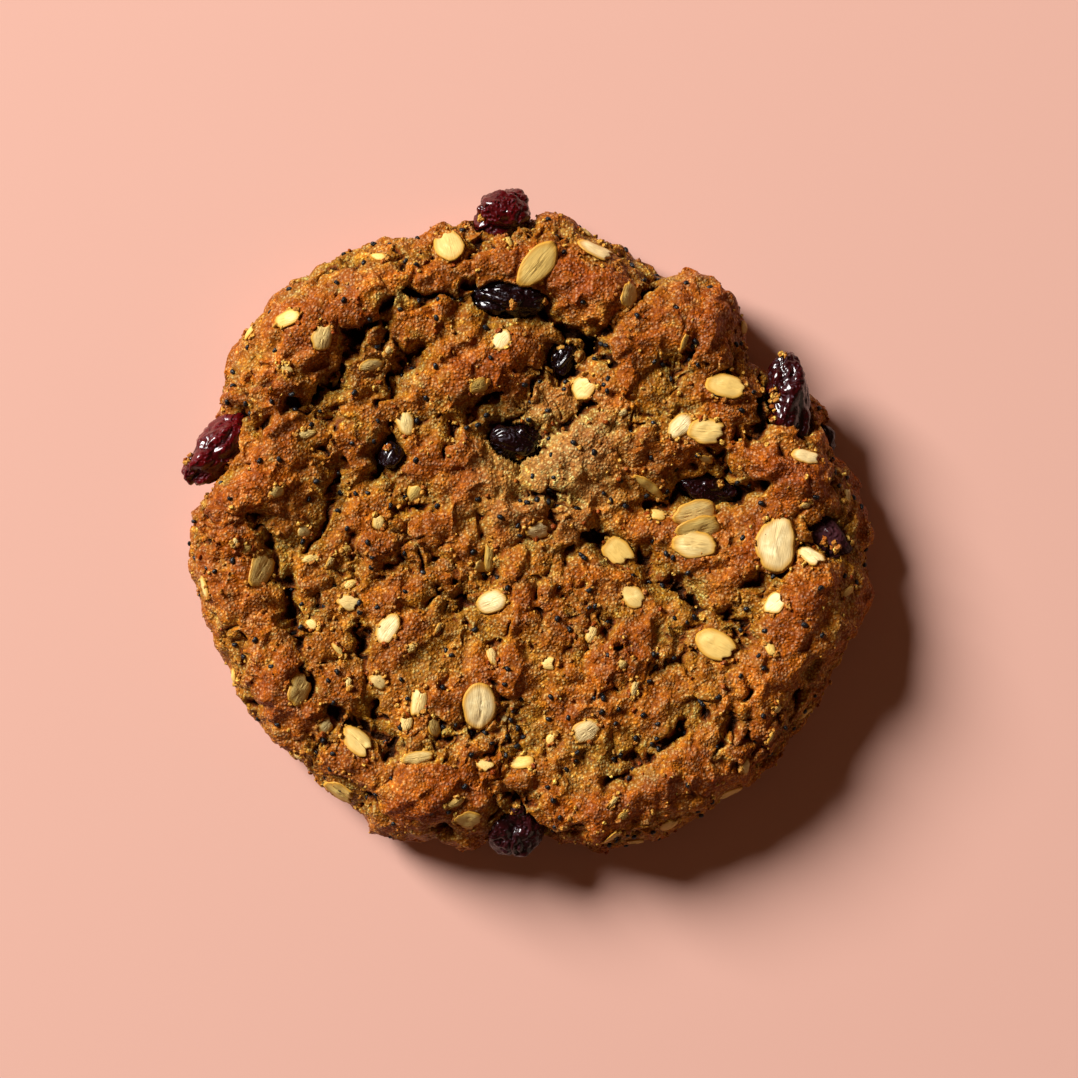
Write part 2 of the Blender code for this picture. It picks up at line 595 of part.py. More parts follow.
def clear_of(x, y, radius, taken):
    """Whether a round patch is clear of the cranberries and of every patch already taken."""
    spot = np.array(((x, y, 0.0),))
    for name in CRANBERRIES:
        if from_berry(spot, name, flat=True)[0] < radius + BERRY_CLEARANCE:
            return False
    return all(math.hypot(x - other_x, y - other_y) > radius + other for other_x, other_y, other in taken)


def scatter(count, spacing, radius, taken, draw):
    """Places spread evenly over the top, apart from each other and clear of what lies there."""
    places = []
    for _ in range(SCATTER_TRIES):
        if len(places) == count:
            break
        angle = draw.uniform(0.0, 2.0 * math.pi)
        out = math.sqrt(draw.uniform(0.0, 1.0)) * SCATTER_REACH * outline_radius(np.array([angle]))[0]
        x, y = out * math.cos(angle), out * math.sin(angle)
        apart = all(math.hypot(x - px, y - py) > spacing for px, py in places)
        if apart and clear_of(x, y, radius, taken):
            places.append((x, y))
    return places


def fuse_toppings(dough, look):
    """Join the oat flakes, the broken bits and the largest poppy seeds to the crust."""
    tree = crust_tree(dough)
    draw = np.random.default_rng(SCATTER_SEED)
    toppings = bpy.data.collections.new("toppings")
    bpy.context.scene.collection.children.link(toppings)
    taken = []
    for number, row in enumerate(FLAKES):
        x, y, length, width = (value * MM for value in row[:4])
        toppings.objects.link(flake_object(f"flake_{number}", tree, (x, y, length, width, *row[4:]), look))
        taken.append((x, y, 0.5 * length))
    for number, (x, y) in enumerate(scatter(BITS, BIT_SPACING, BIT_LENGTH[1] / 2, taken, draw)):
        length = draw.uniform(*BIT_LENGTH)
        place = (x, y, length, BIT_WIDTH * length, draw.uniform(0.0, 180.0), 0.0)
        toppings.objects.link(flake_object(f"bit_{number}", tree, place, look))
        taken.append((x, y, 0.5 * length))
    for number, (x, y) in enumerate(scatter(SEEDS, SEED_SPACING, SEED_RADIUS, taken, draw)):
        toppings.objects.link(seed_object(f"seed_{number}", tree, x, y, draw, look))
    join = dough.modifiers.new("toppings", "BOOLEAN")
    join.operation = "UNION"
    join.operand_type = "COLLECTION"
    join.collection = toppings
    apply_modifiers(dough)
    remove_collection(toppings)


def keep_largest_shell(dough):
    """Fill sealed hollows and drop loose scraps: only the largest closed shell stays."""
    build = bmesh.new()
    build.from_mesh(dough.data)
    bmesh.ops.triangulate(build, faces=build.faces)
    waiting = set(build.faces)
    shells = []
    while waiting:
        front = [waiting.pop()]
        shell = []
        while front:
            face = front.pop()
            shell.append(face)
            for edge in face.edges:
                for other in edge.link_faces:
                    if other in waiting:
                        waiting.remove(other)
                        front.append(other)
        shells.append(shell)
    shells.sort(key=len, reverse=True)
    for shell in shells[1:]:
        bmesh.ops.delete(build, geom=shell, context="FACES")
    loose = [vertex for vertex in build.verts if not vertex.link_faces]
    bmesh.ops.delete(build, geom=loose, context="VERTS")
    build.to_mesh(dough.data)
    build.free()


def main():
    """Crust, then what is fused to it, then the pockets and the cranberries in them."""
    clear_scene()
    crust = material("crust", CRUST_COLOUR, CRUST_ROUGHNESS)
    fruit = material("dried_cranberry", CRANBERRY_COLOUR, CRANBERRY_ROUGHNESS)
    dough = plain_crust(crust)
    fuse_toppings(dough, crust)
    cut_pockets(dough, crust)
    keep_largest_shell(dough)
    add_cranberries(fruit)


main()
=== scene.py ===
# %% [markdown]
# # An oat and cranberry cookie
# A large round cookie: a crumbly golden crust with lumps and dark cracks, cream oat flakes
# baked into it, poppy seeds, and dried cranberries lying in pockets of the dough.
# A plain solid model of it exists already and sets every size and place. This lesson gives it
# its looks. We repeat the rule that shaped the solid, but on a mesh about forty times finer, so that
# the crumbs become real geometry. Lengths are in metres; tables in millimetres are scaled by MM.
# Each noise is called with a seed, a whole number that picks its pattern.

# %% Load the solid model that everything is fitted to
import itertools
import math

import bmesh
import bpy
import numpy as np
from mathutils import Matrix, Vector
from mathutils.bvhtree import BVHTree


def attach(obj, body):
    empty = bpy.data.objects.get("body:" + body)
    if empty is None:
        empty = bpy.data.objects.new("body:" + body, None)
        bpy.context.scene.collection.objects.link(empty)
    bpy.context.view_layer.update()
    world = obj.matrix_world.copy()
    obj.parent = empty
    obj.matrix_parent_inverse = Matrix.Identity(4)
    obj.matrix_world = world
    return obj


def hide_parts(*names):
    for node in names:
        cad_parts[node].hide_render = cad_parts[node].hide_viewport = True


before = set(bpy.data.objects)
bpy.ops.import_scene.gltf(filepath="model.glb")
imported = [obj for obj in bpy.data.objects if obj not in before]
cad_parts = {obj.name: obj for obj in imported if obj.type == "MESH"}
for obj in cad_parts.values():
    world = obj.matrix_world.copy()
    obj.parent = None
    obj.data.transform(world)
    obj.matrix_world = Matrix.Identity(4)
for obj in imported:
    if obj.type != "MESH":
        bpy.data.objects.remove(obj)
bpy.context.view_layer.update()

MM = 0.001
print("solid nodes:", ", ".join(sorted(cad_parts)))

# %% [markdown]
# ## Noise that repeats
# Baked crust is irregular, but a script has to give the same cookie every time it runs. So we
# make our own noise: each whole-number cell of space gets a number from a fixed rule, and
# places inside a cell blend the numbers at its corners. Blender's noise textures would do for a
# material, but here we need the values in Python, to move vertices with them.

# %% Noise helpers
NOISE_GAIN = 1.5
CELL_FACTORS = (73856093, 19349663, 83492791)
SEED_FACTOR = 668265263
MIXING = ((15, 2246822519), (13, 3266489917), (16, 1))
LOW_BITS = 0xFFFFFFFF


def hashed(cell, seed):
    """A repeatable number from 0 to 1 for each whole-number cell."""
    whole = cell.astype(np.int64) * np.array(CELL_FACTORS)
    number = (whole[..., 0] ^ whole[..., 1] ^ whole[..., 2] ^ (seed * SEED_FACTOR)) & LOW_BITS
    for shift, factor in MIXING:
        number = ((number ^ (number >> shift)) * factor) & LOW_BITS
    return number / float(LOW_BITS)


def rolling(points, size, seed):
    """Soft rolling noise from about -1 to 1 whose swells are about size wide."""
    scaled = points / size
    base = np.floor(scaled)
    part = scaled - base
    fade = part ** 3 * (part * (part * 6.0 - 15.0) + 10.0)
    total = np.zeros(len(points))
    for corner in itertools.product((0, 1), repeat=3):
        cell = base + corner
        slope = np.stack([hashed(cell, seed + axis) for axis in range(3)], axis=1) * 2.0 - 1.0
        share = np.where(np.array(corner) == 1, fade, 1.0 - fade).prod(axis=1)
        total += share * (slope * (part - corner)).sum(axis=1)
    return NOISE_GAIN * total


def billows(points, size, seed):
    """Rounded lumps with sharp creases between them: about 0 in a crease, 1 on a high lump."""
    return np.abs(rolling(points, size, seed))


print("noise at three places:", rolling(np.eye(3) * MM, 4 * MM, 1).round(3))

# %% Shares, packed crumbs and wandering places
FAR_OFF = 9.0
LOWEST_CRUMB = 0.25


def step_down(distance, width):
    """1 at no distance, falling smoothly to 0 at the width."""
    share = np.clip(distance / width, 0.0, 1.0)
    return 1.0 - share * share * (3.0 - 2.0 * share)


def packed(points, size, seed, edge):
    """Crumbs packed side by side: 1 on a crumb, falling to 0 in the creases between, and a
    number from 0 to 1 of each crumb's own."""
    scaled = points / size
    base = np.floor(scaled)
    nearest = np.full(len(points), FAR_OFF)
    second = np.full(len(points), FAR_OFF)
    own = np.zeros(len(points))
    for step in itertools.product((-1, 0, 1), repeat=3):
        cell = base + step
        centre = cell + np.stack([hashed(cell, seed + axis) for axis in range(3)], axis=1)
        distance = np.linalg.norm(scaled - centre, axis=1)
        own = np.where(distance < nearest, hashed(cell, seed + 3), own)
        second = np.minimum(second, np.maximum(nearest, distance))
        nearest = np.minimum(nearest, distance)
    return 1.0 - step_down(second - nearest, edge), own


def cobbles(points, size, seed, edge):
    """Packed crumbs that all rise to 1."""
    return packed(points, size, seed, edge)[0]


def clumps(points, size, seed, edge):
    """Packed crumbs, each of its own height up to 1."""
    crumb, own = packed(points, size, seed, edge)
    return (LOWEST_CRUMB + (1.0 - LOWEST_CRUMB) * own) * crumb


def level_of(values, low, high):
    """The values as a share from 0 at low to 1 at high."""
    return np.clip((values - low) / (high - low), 0.0, 1.0)


def wandered(points, size, amount, seed):
    """The places moved a little to and fro, so that what is drawn with them is uneven."""
    shift = np.stack([rolling(points, size, seed + 3 * axis) for axis in range(3)], axis=1)
    return points + amount * shift


print("halfway down a smooth step:", step_down(0.5, 1.0))

# %% [markdown]
# ## The plain body of the cookie
# Under its crumbs the cookie is a low loaf: flat below, a nearly level top, a rounded shoulder
# and a slightly tucked-in foot. One function gives that section, another the uneven outline seen
# from above, a smooth curve through radii every 12 degrees. Both are the same as in the solid.

# %% Section and outline
CREST_HEIGHT = 14.0 * MM
SHOULDER = 10.5 * MM
WIDEST_HEIGHT = 4.2 * MM
UNDERCUT = 1.8 * MM
ROUNDING = 0.86
FLAT_END = 0.66
SHOULDER_END = 0.93
SLOPE_STEP = 0.001
FOOT_BAND = 0.05
FOOT_RELIEF = 0.15
EDGE_CRAG_SIZE = 7.0 * MM
EDGE_CRAG = 0.6 * MM
OUTLINE = (50.9, 48.2, 48.2, 43.2, 45.4, 43.9, 44.6, 47.0, 47.3, 46.8,
           48.9, 50.5, 50.6, 49.6, 49.0, 50.3, 50.8, 50.6, 50.7, 50.1,
           50.4, 49.3, 49.0, 48.9, 51.4, 51.2, 51.9, 51.8, 51.4, 51.9)


def outline_radius(angle):
    """Radius of the dough's widest line, smooth through the named radii, with small crags."""
    radii = np.array(OUTLINE) * MM
    count = len(radii)
    place = np.mod(angle, 2.0 * np.pi) / (2.0 * np.pi) * count
    knot = np.floor(place).astype(int)
    part = place - knot
    before, start, end, after = (radii[(knot + step) % count] for step in (-1, 0, 1, 2))
    smooth = start + 0.5 * part * (
        end - before + part * (2 * before - 5 * start + 4 * end - after
                               + part * (3 * (start - end) + after - before)))
    on_edge = np.stack([np.cos(angle), np.sin(angle), np.zeros_like(angle)], axis=1) * smooth[:, None]
    return smooth + EDGE_CRAG * rolling(on_edge, EDGE_CRAG_SIZE, 5)


def section(reach, radius):
    """Distance out and height of the plain section: reach is 0 in the middle of the top,
    and 1 at the edge of the underside."""
    turn = np.clip((reach - FLAT_END) / (SHOULDER_END - FLAT_END), 0.0, 1.0) * np.pi / 2
    tuck = np.clip((reach - SHOULDER_END) / (1.0 - SHOULDER_END), 0.0, 1.0) * np.pi / 2
    flat = np.clip(reach / FLAT_END, 0.0, 1.0) * (radius - SHOULDER)
    out = flat + SHOULDER * np.sin(turn) ** ROUNDING - UNDERCUT * (1.0 - np.cos(tuck))
    fall = np.clip(np.cos(turn), 0.0, 1.0) ** ROUNDING
    height = WIDEST_HEIGHT * (1.0 - np.sin(tuck)) + (CREST_HEIGHT - WIDEST_HEIGHT) * fall
    return out, height


def plain_surface(angle, reach):
    """Places on the plain body, the direction straight out of it, and the way in from the edge."""
    radius = outline_radius(angle)
    out, height = section(reach, radius)
    ahead_out, ahead_height = section(np.minimum(reach + SLOPE_STEP, 1.0), radius)
    back_out, back_height = section(np.maximum(reach - SLOPE_STEP, 0.0), radius)
    slope_out = back_height - ahead_height
    slope_up = np.maximum(ahead_out - back_out, 0.0)
    length = np.hypot(slope_out, slope_up)
    compass = np.stack([np.cos(angle), np.sin(angle)], axis=1)
    base = np.column_stack([compass * out[:, None], height])
    normal = np.column_stack([compass * (slope_out / length)[:, None], slope_up / length])
    return base, normal, radius - out


print("plain top", round(CREST_HEIGHT / MM, 1), "mm high")

# %% [markdown]
# ## Where the cranberries lie
# Eleven dried cranberries sit in the dough. Each is one row: its centre, its size, how it is
# turned, and how deep the crust dips round it. The crust needs these rows before the berries are
# made, because the dough gives way to them.

# %% Cranberry places
# x, y, height of the centre, length, width, thickness in millimetres, turn from +X, tip of the
# front end and roll about the length in degrees, depth of the dip round it in millimetres
CRANBERRIES = {
    "cranberry_left": (-45.3, 11.0, 9.6, 14.2, 7.6, 6.6, 40, -6, 20, 1.5),
    "cranberry_top": (-3.4, 45.8, 7.8, 9.2, 8.6, 7.2, 4, 0, 0, 0.3),
    "cranberry_upper_middle": (-2.9, 33.6, 10.8, 12.0, 6.0, 5.6, -5, 3, 0, 1.6),
    "cranberry_centre": (-1.8, 11.9, 9.6, 8.8, 6.2, 5.6, -10, 0, 15, 1.6),
    "cranberry_right_upper": (38.9, 18.0, 10.4, 16.2, 7.4, 6.8, 92, 0, 15, 1.6),
    "cranberry_right_middle": (26.8, 5.8, 8.1, 10.0, 5.2, 5.0, -18, 0, 0, 1.6),
    "cranberry_right_lower": (44.2, -1.2, 10.8, 9.6, 4.8, 5.2, -42, 8, 25, 1.6),
    "cranberry_bottom": (-1.4, -45.1, 9.0, 9.4, 8.4, 6.8, 78, 0, 0, 1.8),
    "cranberry_small_upper": (5.6, 24.4, 9.8, 5.6, 4.2, 4.0, 60, 0, 0, 1.5),
    "cranberry_small_left": (-20.4, 10.3, 10.8, 4.8, 3.8, 3.6, 70, 0, 0, 1.4),
    "cranberry_edge_tip": (44.5, 12.8, 5.8, 5.2, 3.8, 4.0, 108, 0, 0, 0.8),
}
DIP_MARGIN = 1.4 * MM
TINY = 1e-6


def berry_frame(name):
    """Centre, half sizes and axes of a cranberry."""
    x, y, z, length, width, thickness, turn, tip, roll, _ = CRANBERRIES[name]
    axes = (Matrix.Rotation(math.radians(turn), 3, "Z")
            @ Matrix.Rotation(math.radians(-tip), 3, "Y")
            @ Matrix.Rotation(math.radians(roll), 3, "X"))
    halves = np.array((length, width, thickness)) * MM / 2.0
    return np.array((x, y, z)) * MM, halves, np.array(axes)


def from_berry(points, name):
    """Distance of each point outside a cranberry's shadow, seen from above."""
    centre, halves, axes = berry_frame(name)
    offset = points[:, :2] - centre[:2]
    local = np.column_stack([offset @ axes[:2, 0], offset @ axes[:2, 1], np.zeros(len(points))])
    scale = np.linalg.norm(local / halves, axis=1)
    return np.linalg.norm(local, axis=1) * (1.0 - 1.0 / np.maximum(scale, TINY))


print(len(CRANBERRIES), "cranberries")

# %% [markdown]
# ## The lumps, folds and cracks
# The crust rose, tore and set. Its big forms are placed one by one from the real cookie: mounds
# where the dough bulges, ridges where a fold stands up, and cracks where it tore. Between them
# noise of five sizes makes folds, lumps, nodules, crumbs and pocks. Everything is one number for
# each place: how far the crust stands out from the plain body. The values are the solid's own.

# %% Tables of the big forms, in millimetres
# Mounds: x, y, radius, rise
MOUNDS = ((-36.5, 27.0, 9.0, 1.6), (-21.5, 36.0, 6.0, 1.2), (-9.0, 24.0, 7.0, 1.7),
          (11.0, 35.5, 7.0, 1.4), (25.5, 31.0, 9.0, 1.9), (18.0, 13.0, 9.5, 1.9),
          (-9.5, 11.0, 5.5, 1.9), (-15.0, 9.0, 4.5, 1.1), (9.0, -22.0, 13.0, 1.7),
          (32.0, -5.0, 8.0, 1.0), (-34.0, -22.0, 8.0, 1.7), (-14.5, -40.0, 8.0, 1.3),
          (24.5, -37.5, 8.5, 1.1), (41.5, -14.0, 8.5, 1.2), (-3.0, -4.5, 5.0, 1.1))

# Ridges: start x, y, end x, y, width, rise
RIDGES = ((13.5, 30.5, 24.5, 36.5, 1.6, 1.3), (-5.0, -21.5, -1.0, -12.5, 2.2, 1.2),
          (-1.0, -12.5, 13.0, -5.5, 2.2, 1.3), (-23.5, 30.0, -8.0, 31.5, 2.0, 0.9),
          (29.0, 11.0, 35.5, 8.5, 2.0, 1.2), (-43.5, 3.5, -33.0, 5.5, 2.6, 1.0))

# Cracks: start x, y, end x, y, width, depth
CRACKS = ((-40.0, 14.0, -28.5, 20.0, 1.7, 1.9), (-28.5, 20.0, -26.0, 29.0, 1.9, 2.6),
          (-26.0, 28.5, -17.5, 33.5, 1.8, 2.4), (-17.5, 33.5, -7.5, 34.5, 1.8, 2.0),
          (-19.5, 41.5, -17.0, 34.0, 1.2, 1.2), (2.0, 32.5, 9.5, 27.0, 1.9, 2.9),
          (9.0, 28.0, 12.5, 23.0, 1.8, 2.8), (-22.0, 18.0, -15.5, 26.0, 1.7, 2.0),
          (-13.0, 11.0, -5.5, 19.0, 1.5, 1.9), (-23.0, 7.0, -20.0, 14.5, 1.5, 1.8),
          (-20.0, 1.5, -11.5, 4.0, 1.5, 1.5), (-18.5, -13.0, -12.5, -9.5, 1.4, 1.3),
          (-6.5, 1.5, -6.0, -8.0, 1.3, 1.5), (-3.5, -14.0, -5.5, -25.5, 1.2, 1.2),
          (-39.5, 1.0, -35.5, -13.0, 1.8, 1.8), (-35.5, -13.0, -29.0, -28.0, 1.8, 1.8),
          (-29.0, -28.0, -20.0, -33.5, 1.7, 1.9), (-24.5, -17.0, -21.5, -28.5, 1.4, 1.4),
          (-28.0, 8.0, -31.5, -3.0, 1.7, 1.5), (19.0, 2.0, 26.5, 5.0, 1.9, 3.0),
          (26.5, 5.0, 35.0, 5.0, 2.2, 3.6), (27.0, 10.5, 35.0, 6.5, 1.7, 2.2),
          (10.0, -2.0, 25.5, -11.0, 3.2, 2.6), (25.5, -11.0, 32.5, -15.5, 1.7, 1.5),
          (9.0, -40.5, 24.0, -28.5, 1.5, 1.5), (28.0, -31.5, 37.0, -18.0, 1.5, 1.4),
          (-25.5, -41.5, -9.0, -45.0, 1.5, 1.3), (11.5, 29.0, 20.0, 38.0, 1.3, 1.6),
          (37.0, 28.0, 31.0, 23.0, 1.6, 2.0), (31.0, 23.0, 24.5, 24.0, 1.3, 1.2),
          (-8.5, 39.5, -6.0, 44.0, 1.5, 1.8), (34.5, 13.0, 36.0, 21.5, 1.4, 1.6))

print(len(MOUNDS), "mounds,", len(RIDGES), "ridges,", len(CRACKS), "cracks")

# %% How far the crust stands out
RIM_INSET = 8.5 * MM
RIM_WIDTH = 4.2 * MM
RIM_RISE = 1.5 * MM
DISH_RADIUS = 34.0 * MM
DISH_DEPTH = 1.3 * MM
FOLD_SIZE = 15.0 * MM
FOLD_RISE = 1.0 * MM
FOLD_TURN = math.radians(38)
FOLD_STRETCH = 1.6
LUMP_SIZE = 9.0 * MM
LUMP_RISE = 2.8 * MM
NODULE_SIZE = 4.2 * MM
NODULE_RISE = 2.0 * MM
CRUMB_SIZE = 2.0 * MM
CRUMB_RISE = 0.7 * MM
COBBLE_SIZE = 3.4 * MM
COBBLE_RISE = 0.8 * MM
COBBLE_EDGE = 0.4
COBBLE_LEVEL = 0.6
POCK_SIZE = 3.0 * MM
POCK_SHARE = 0.75
POCK_DEPTH = 1.2 * MM
LUMP_LEVEL = 0.3
ROUGH_PATCH = 13.0 * MM
ROUGH_MEAN = 0.65
ROUGH_SWING = 0.6
ROUGH_LIMITS = (0.25, 1.1)
WANDER_SIZE = 7.0 * MM
WANDER = 1.6 * MM
RAGGED_SIZE = 2.6 * MM
RAGGED = 1.2 * MM
CRACK_SPREAD = 1.2
CRACK_BREAK = 3.5 * MM
CRACK_SWING = 0.5
MOUND_SPREAD = 1.15
RIDGE_SPREAD = 1.8


def from_segment(flat, x0, y0, x1, y1):
    """Distance of each flat point from a straight line between two places in millimetres."""
    start = np.array((x0, y0)) * MM
    along = np.array((x1, y1)) * MM - start
    share = np.clip((flat - start) @ along / (along @ along), 0.0, 1.0)
    return np.linalg.norm(flat - start - share[:, None] * along, axis=1)


def roughness_of(points):
    """How crumbly the crust is at each place: patches of it are smooth, others broken."""
    return np.clip(ROUGH_MEAN + ROUGH_SWING * rolling(points, ROUGH_PATCH, 17), *ROUGH_LIMITS)


def cracked(points, flat):
    """Depth of the torn cracks at each place."""
    gape = CRACK_SPREAD * (1.0 + CRACK_SWING * rolling(points, CRACK_BREAK, 81))
    sink = 1.0 + CRACK_SWING * rolling(points, CRACK_BREAK, 85)
    depth_here = np.zeros(len(points))
    for *ends, width, depth in CRACKS:
        depth_here += depth * MM * sink * step_down(from_segment(flat, *ends), gape * width * MM)
    return depth_here


print("smooth and rough crust:", ROUGH_LIMITS)

# %% All forms added up
def relief(points, inset):
    """How far the crust stands out from the plain section at each place on it."""
    bent = wandered(points, WANDER_SIZE, WANDER, 41)
    ragged = wandered(bent, RAGGED_SIZE, RAGGED, 61)
    along = np.array((math.cos(FOLD_TURN), math.sin(FOLD_TURN), 0.0))
    stretched = bent - (bent @ along)[:, None] * along * (1.0 - 1.0 / FOLD_STRETCH)
    roughness = roughness_of(points)
    rise = FOLD_RISE * rolling(stretched, FOLD_SIZE, 11)
    rise += LUMP_RISE * (billows(stretched, LUMP_SIZE, 21) - LUMP_LEVEL)
    rise += NODULE_RISE * roughness * (billows(bent, NODULE_SIZE, 31) - LUMP_LEVEL)
    rise += CRUMB_RISE * roughness * (billows(ragged, CRUMB_SIZE, 35) - LUMP_LEVEL)
    rise += COBBLE_RISE * roughness * (cobbles(ragged, COBBLE_SIZE, 51, COBBLE_EDGE) - COBBLE_LEVEL)
    pocked = step_down(rolling(ragged, POCK_SIZE, 71) + 1.0, POCK_SHARE)
    rise -= POCK_DEPTH * roughness * pocked
    rise += RIM_RISE * np.exp(-((inset - RIM_INSET) / RIM_WIDTH) ** 2)
    from_middle = np.linalg.norm(points[:, :2], axis=1)
    rise -= DISH_DEPTH * np.exp(-(from_middle / DISH_RADIUS) ** 4)
    flat = ragged[:, :2]
    for x, y, radius, height in MOUNDS:
        distance = np.linalg.norm(flat - np.array((x, y)) * MM, axis=1)
        rise += height * MM * step_down(distance, MOUND_SPREAD * radius * MM)
    for *ends, width, height in RIDGES:
        rise += height * MM * step_down(from_segment(flat, *ends), RIDGE_SPREAD * width * MM)
    rise -= cracked(points, flat)
    for name, (*_, dip) in CRANBERRIES.items():
        distance = np.maximum(from_berry(points, name), 0.0)
        rise -= dip * MM * np.exp(-(distance / DIP_MARGIN) ** 2)
    return rise


# %% [markdown]
# ## Where the oat flakes lie
# The flakes come before the crust too, because the dough makes a shallow nest under each. The
# large ones are the flakes of the solid. The fragments are smaller bits that only show up close.

# %% Oat flake places, in millimetres and degrees
# x, y, length, width, turn from +X, tilt about the length
FLAKES = (
    # upper third
    (-11.5, 41.2, 6.2, 4.6, 105, 0), (1.6, 38.2, 8.2, 4.4, 50, 12), (10.5, 40.2, 6.9, 3.9, -18, 0),
    (15.0, 33.9, 4.3, 3.4, 70, 8), (-3.7, 27.3, 3.5, 2.7, 60, 0), (8.5, 20.4, 4.4, 3.6, 40, 0),
    (29.5, 20.4, 6.3, 4.2, -8, 0), (22.6, 14.5, 4.7, 3.0, 45, 0), (26.9, 13.8, 6.4, 3.8, -5, -8),
    (-35.1, 30.3, 4.4, 2.7, 12, 0), (-30.0, 27.6, 4.4, 3.2, 75, 0),
    # middle third
    (41.3, 10.0, 5.0, 2.6, -5, 0), (18.1, 5.9, 6.0, 2.2, -42, 30), (24.8, 1.2, 7.0, 4.0, 18, 48),
    (25.4, -0.9, 7.0, 4.2, 14, 42), (24.8, -3.0, 6.6, 4.4, -8, 14), (36.6, -2.7, 8.6, 6.0, 80, 0),
    (41.9, -4.7, 4.5, 3.1, -40, 0), (36.6, -11.6, 3.9, 3.2, 45, 0), (1.8, -0.7, 4.2, 2.9, 15, 0),
    (-5.1, -11.4, 4.8, 3.5, 20, 0), (15.8, -10.7, 4.7, 3.4, -40, 0), (13.7, -4.2, 5.6, 4.0, -45, 10),
    (-20.4, -15.4, 5.0, 3.0, 55, 0), (-39.2, -6.5, 6.0, 4.0, 60, 0), (-16.6, 4.8, 3.6, 2.3, 60, 0),
    # lower third
    (-7.0, -26.7, 7.3, 5.0, 84, 0), (27.9, -17.8, 6.8, 4.4, -30, 0), (8.8, -30.4, 4.4, 3.3, 35, 0),
    (-24.8, -32.2, 6.2, 3.7, -45, 10), (-27.3, -39.8, 6.1, 4.2, -40, 0), (-16.1, -34.4, 5.0, 2.0, 15, 25),
    (-8.5, -43.6, 4.6, 3.1, -15, 0), (12.8, -45.8, 4.8, 2.8, 60, 12), (30.0, -40.0, 5.2, 3.8, -20, 0),
    (21.2, -44.4, 3.7, 2.5, 60, 0), (-15.9, -25.9, 4.7, 2.6, 80, 0), (-33.5, -24.2, 5.0, 3.8, 60, 0),
)
FRAGMENTS = (
    # upper third
    (-21.9, 39.6, 3.0, 1.2, -20, 10), (-23.0, 23.6, 3.8, 1.9, 12, 0), (-28.4, 21.5, 2.4, 1.1, 80, 20),
    (-20.4, 25.8, 1.8, 1.2, 70, 0), (-35.3, 23.0, 2.2, 1.3, -30, 0), (-41.0, 28.6, 3.0, 1.6, 50, 0),
    (-17.9, 15.0, 4.0, 2.6, 100, 0), (-36.8, 4.9, 2.6, 1.9, 30, 0), (-2.7, 41.9, 2.4, 1.2, 100, 0),
    (-32.6, 13.4, 3.2, 1.5, 15, 0), (23.2, 27.1, 3.0, 1.0, 68, 40), (14.2, 16.6, 2.0, 1.2, 25, 0),
    (26.4, 9.8, 2.4, 1.4, -30, 15), (33.2, 30.4, 3.2, 1.6, -40, 0), (41.1, 3.0, 1.8, 1.2, 10, 0),
    (8.8, 44.3, 2.6, 1.4, -20, 0), (47.6, 4.6, 2.8, 1.5, 80, 0),
    # middle third
    (-47.6, -9.2, 3.6, 1.7, 100, 0), (-41.2, -3.5, 1.8, 1.4, 30, 0), (-42.8, -2.6, 1.9, 0.9, 70, 0),
    (-32.0, -5.0, 2.9, 1.3, 20, 0), (-26.6, -3.6, 1.8, 1.2, 0, 0), (-29.0, -5.3, 2.3, 1.1, 60, 20),
    (-26.1, -8.8, 2.3, 1.3, 25, 0), (-26.3, -11.5, 3.6, 2.5, -10, 0), (-31.7, -14.7, 2.3, 1.6, -30, 0),
    (-27.8, -18.5, 2.8, 0.9, -45, 25), (-13.2, -15.2, 2.1, 1.0, 65, 20), (-17.1, -18.2, 2.0, 1.3, 40, 0),
    (-5.4, -4.5, 6.0, 1.5, 80, 35), (9.6, -16.1, 2.9, 1.6, 72, 0), (47.4, -9.9, 3.2, 1.3, 30, 0),
    (-5.2, -19.4, 3.4, 1.6, 100, 15), (14.1, -20.4, 2.0, 1.4, 75, 0), (35.9, -18.3, 2.5, 1.4, -62, 0),
    # lower third
    (15.9, -24.0, 3.2, 1.3, 75, 15), (3.6, -31.6, 2.0, 1.3, 60, 0), (-3.5, -28.6, 1.6, 1.4, 0, 0),
    (-26.3, -23.2, 1.9, 1.1, 85, 0), (-43.6, -22.6, 3.0, 1.8, 60, 0), (-17.8, -29.2, 2.8, 2.0, 70, 0),
    (-13.8, -29.7, 3.2, 2.0, 110, 0), (-0.6, -35.1, 3.8, 2.2, 10, 0), (-6.0, -35.5, 3.0, 1.8, -25, 0),
    (-10.6, -40.8, 3.0, 1.4, 20, 0), (32.3, -35.6, 2.8, 1.5, 100, 0), (12.8, -40.7, 2.8, 0.9, 55, 25),
    (14.2, -42.8, 2.0, 1.4, 30, 0), (36.9, -27.0, 1.9, 1.3, 60, 0), (35.9, -31.2, 2.3, 0.9, 70, 20),
    (41.6, -28.0, 2.8, 1.6, 60, 0), (-33.9, -34.3, 2.0, 1.6, 30, 0), (16.6, -47.9, 3.2, 1.6, -10, 0),
)
print(len(FLAKES), "flakes and", len(FRAGMENTS), "fragments")

# %% [markdown]
# A few broken bits of flake and the largest poppy seeds of the solid have no row of their own:
# they were drawn by a seeded rule. We repeat the same draws in the same order to find them.

# %% Bits and seeds that the solid has
BITS = 8
BIT_LENGTH = (2.4 * MM, 3.2 * MM)
BIT_WIDTH = 0.75
BIT_SPACING = 9.0 * MM
SEEDS = 42
SEED_RADIUS = 0.46 * MM
SEED_SPACING = 8.0 * MM
BERRY_CLEARANCE = 1.2 * MM
SCATTER_REACH = 0.88
SCATTER_TRIES = 6000
SCATTER_SEED = 7


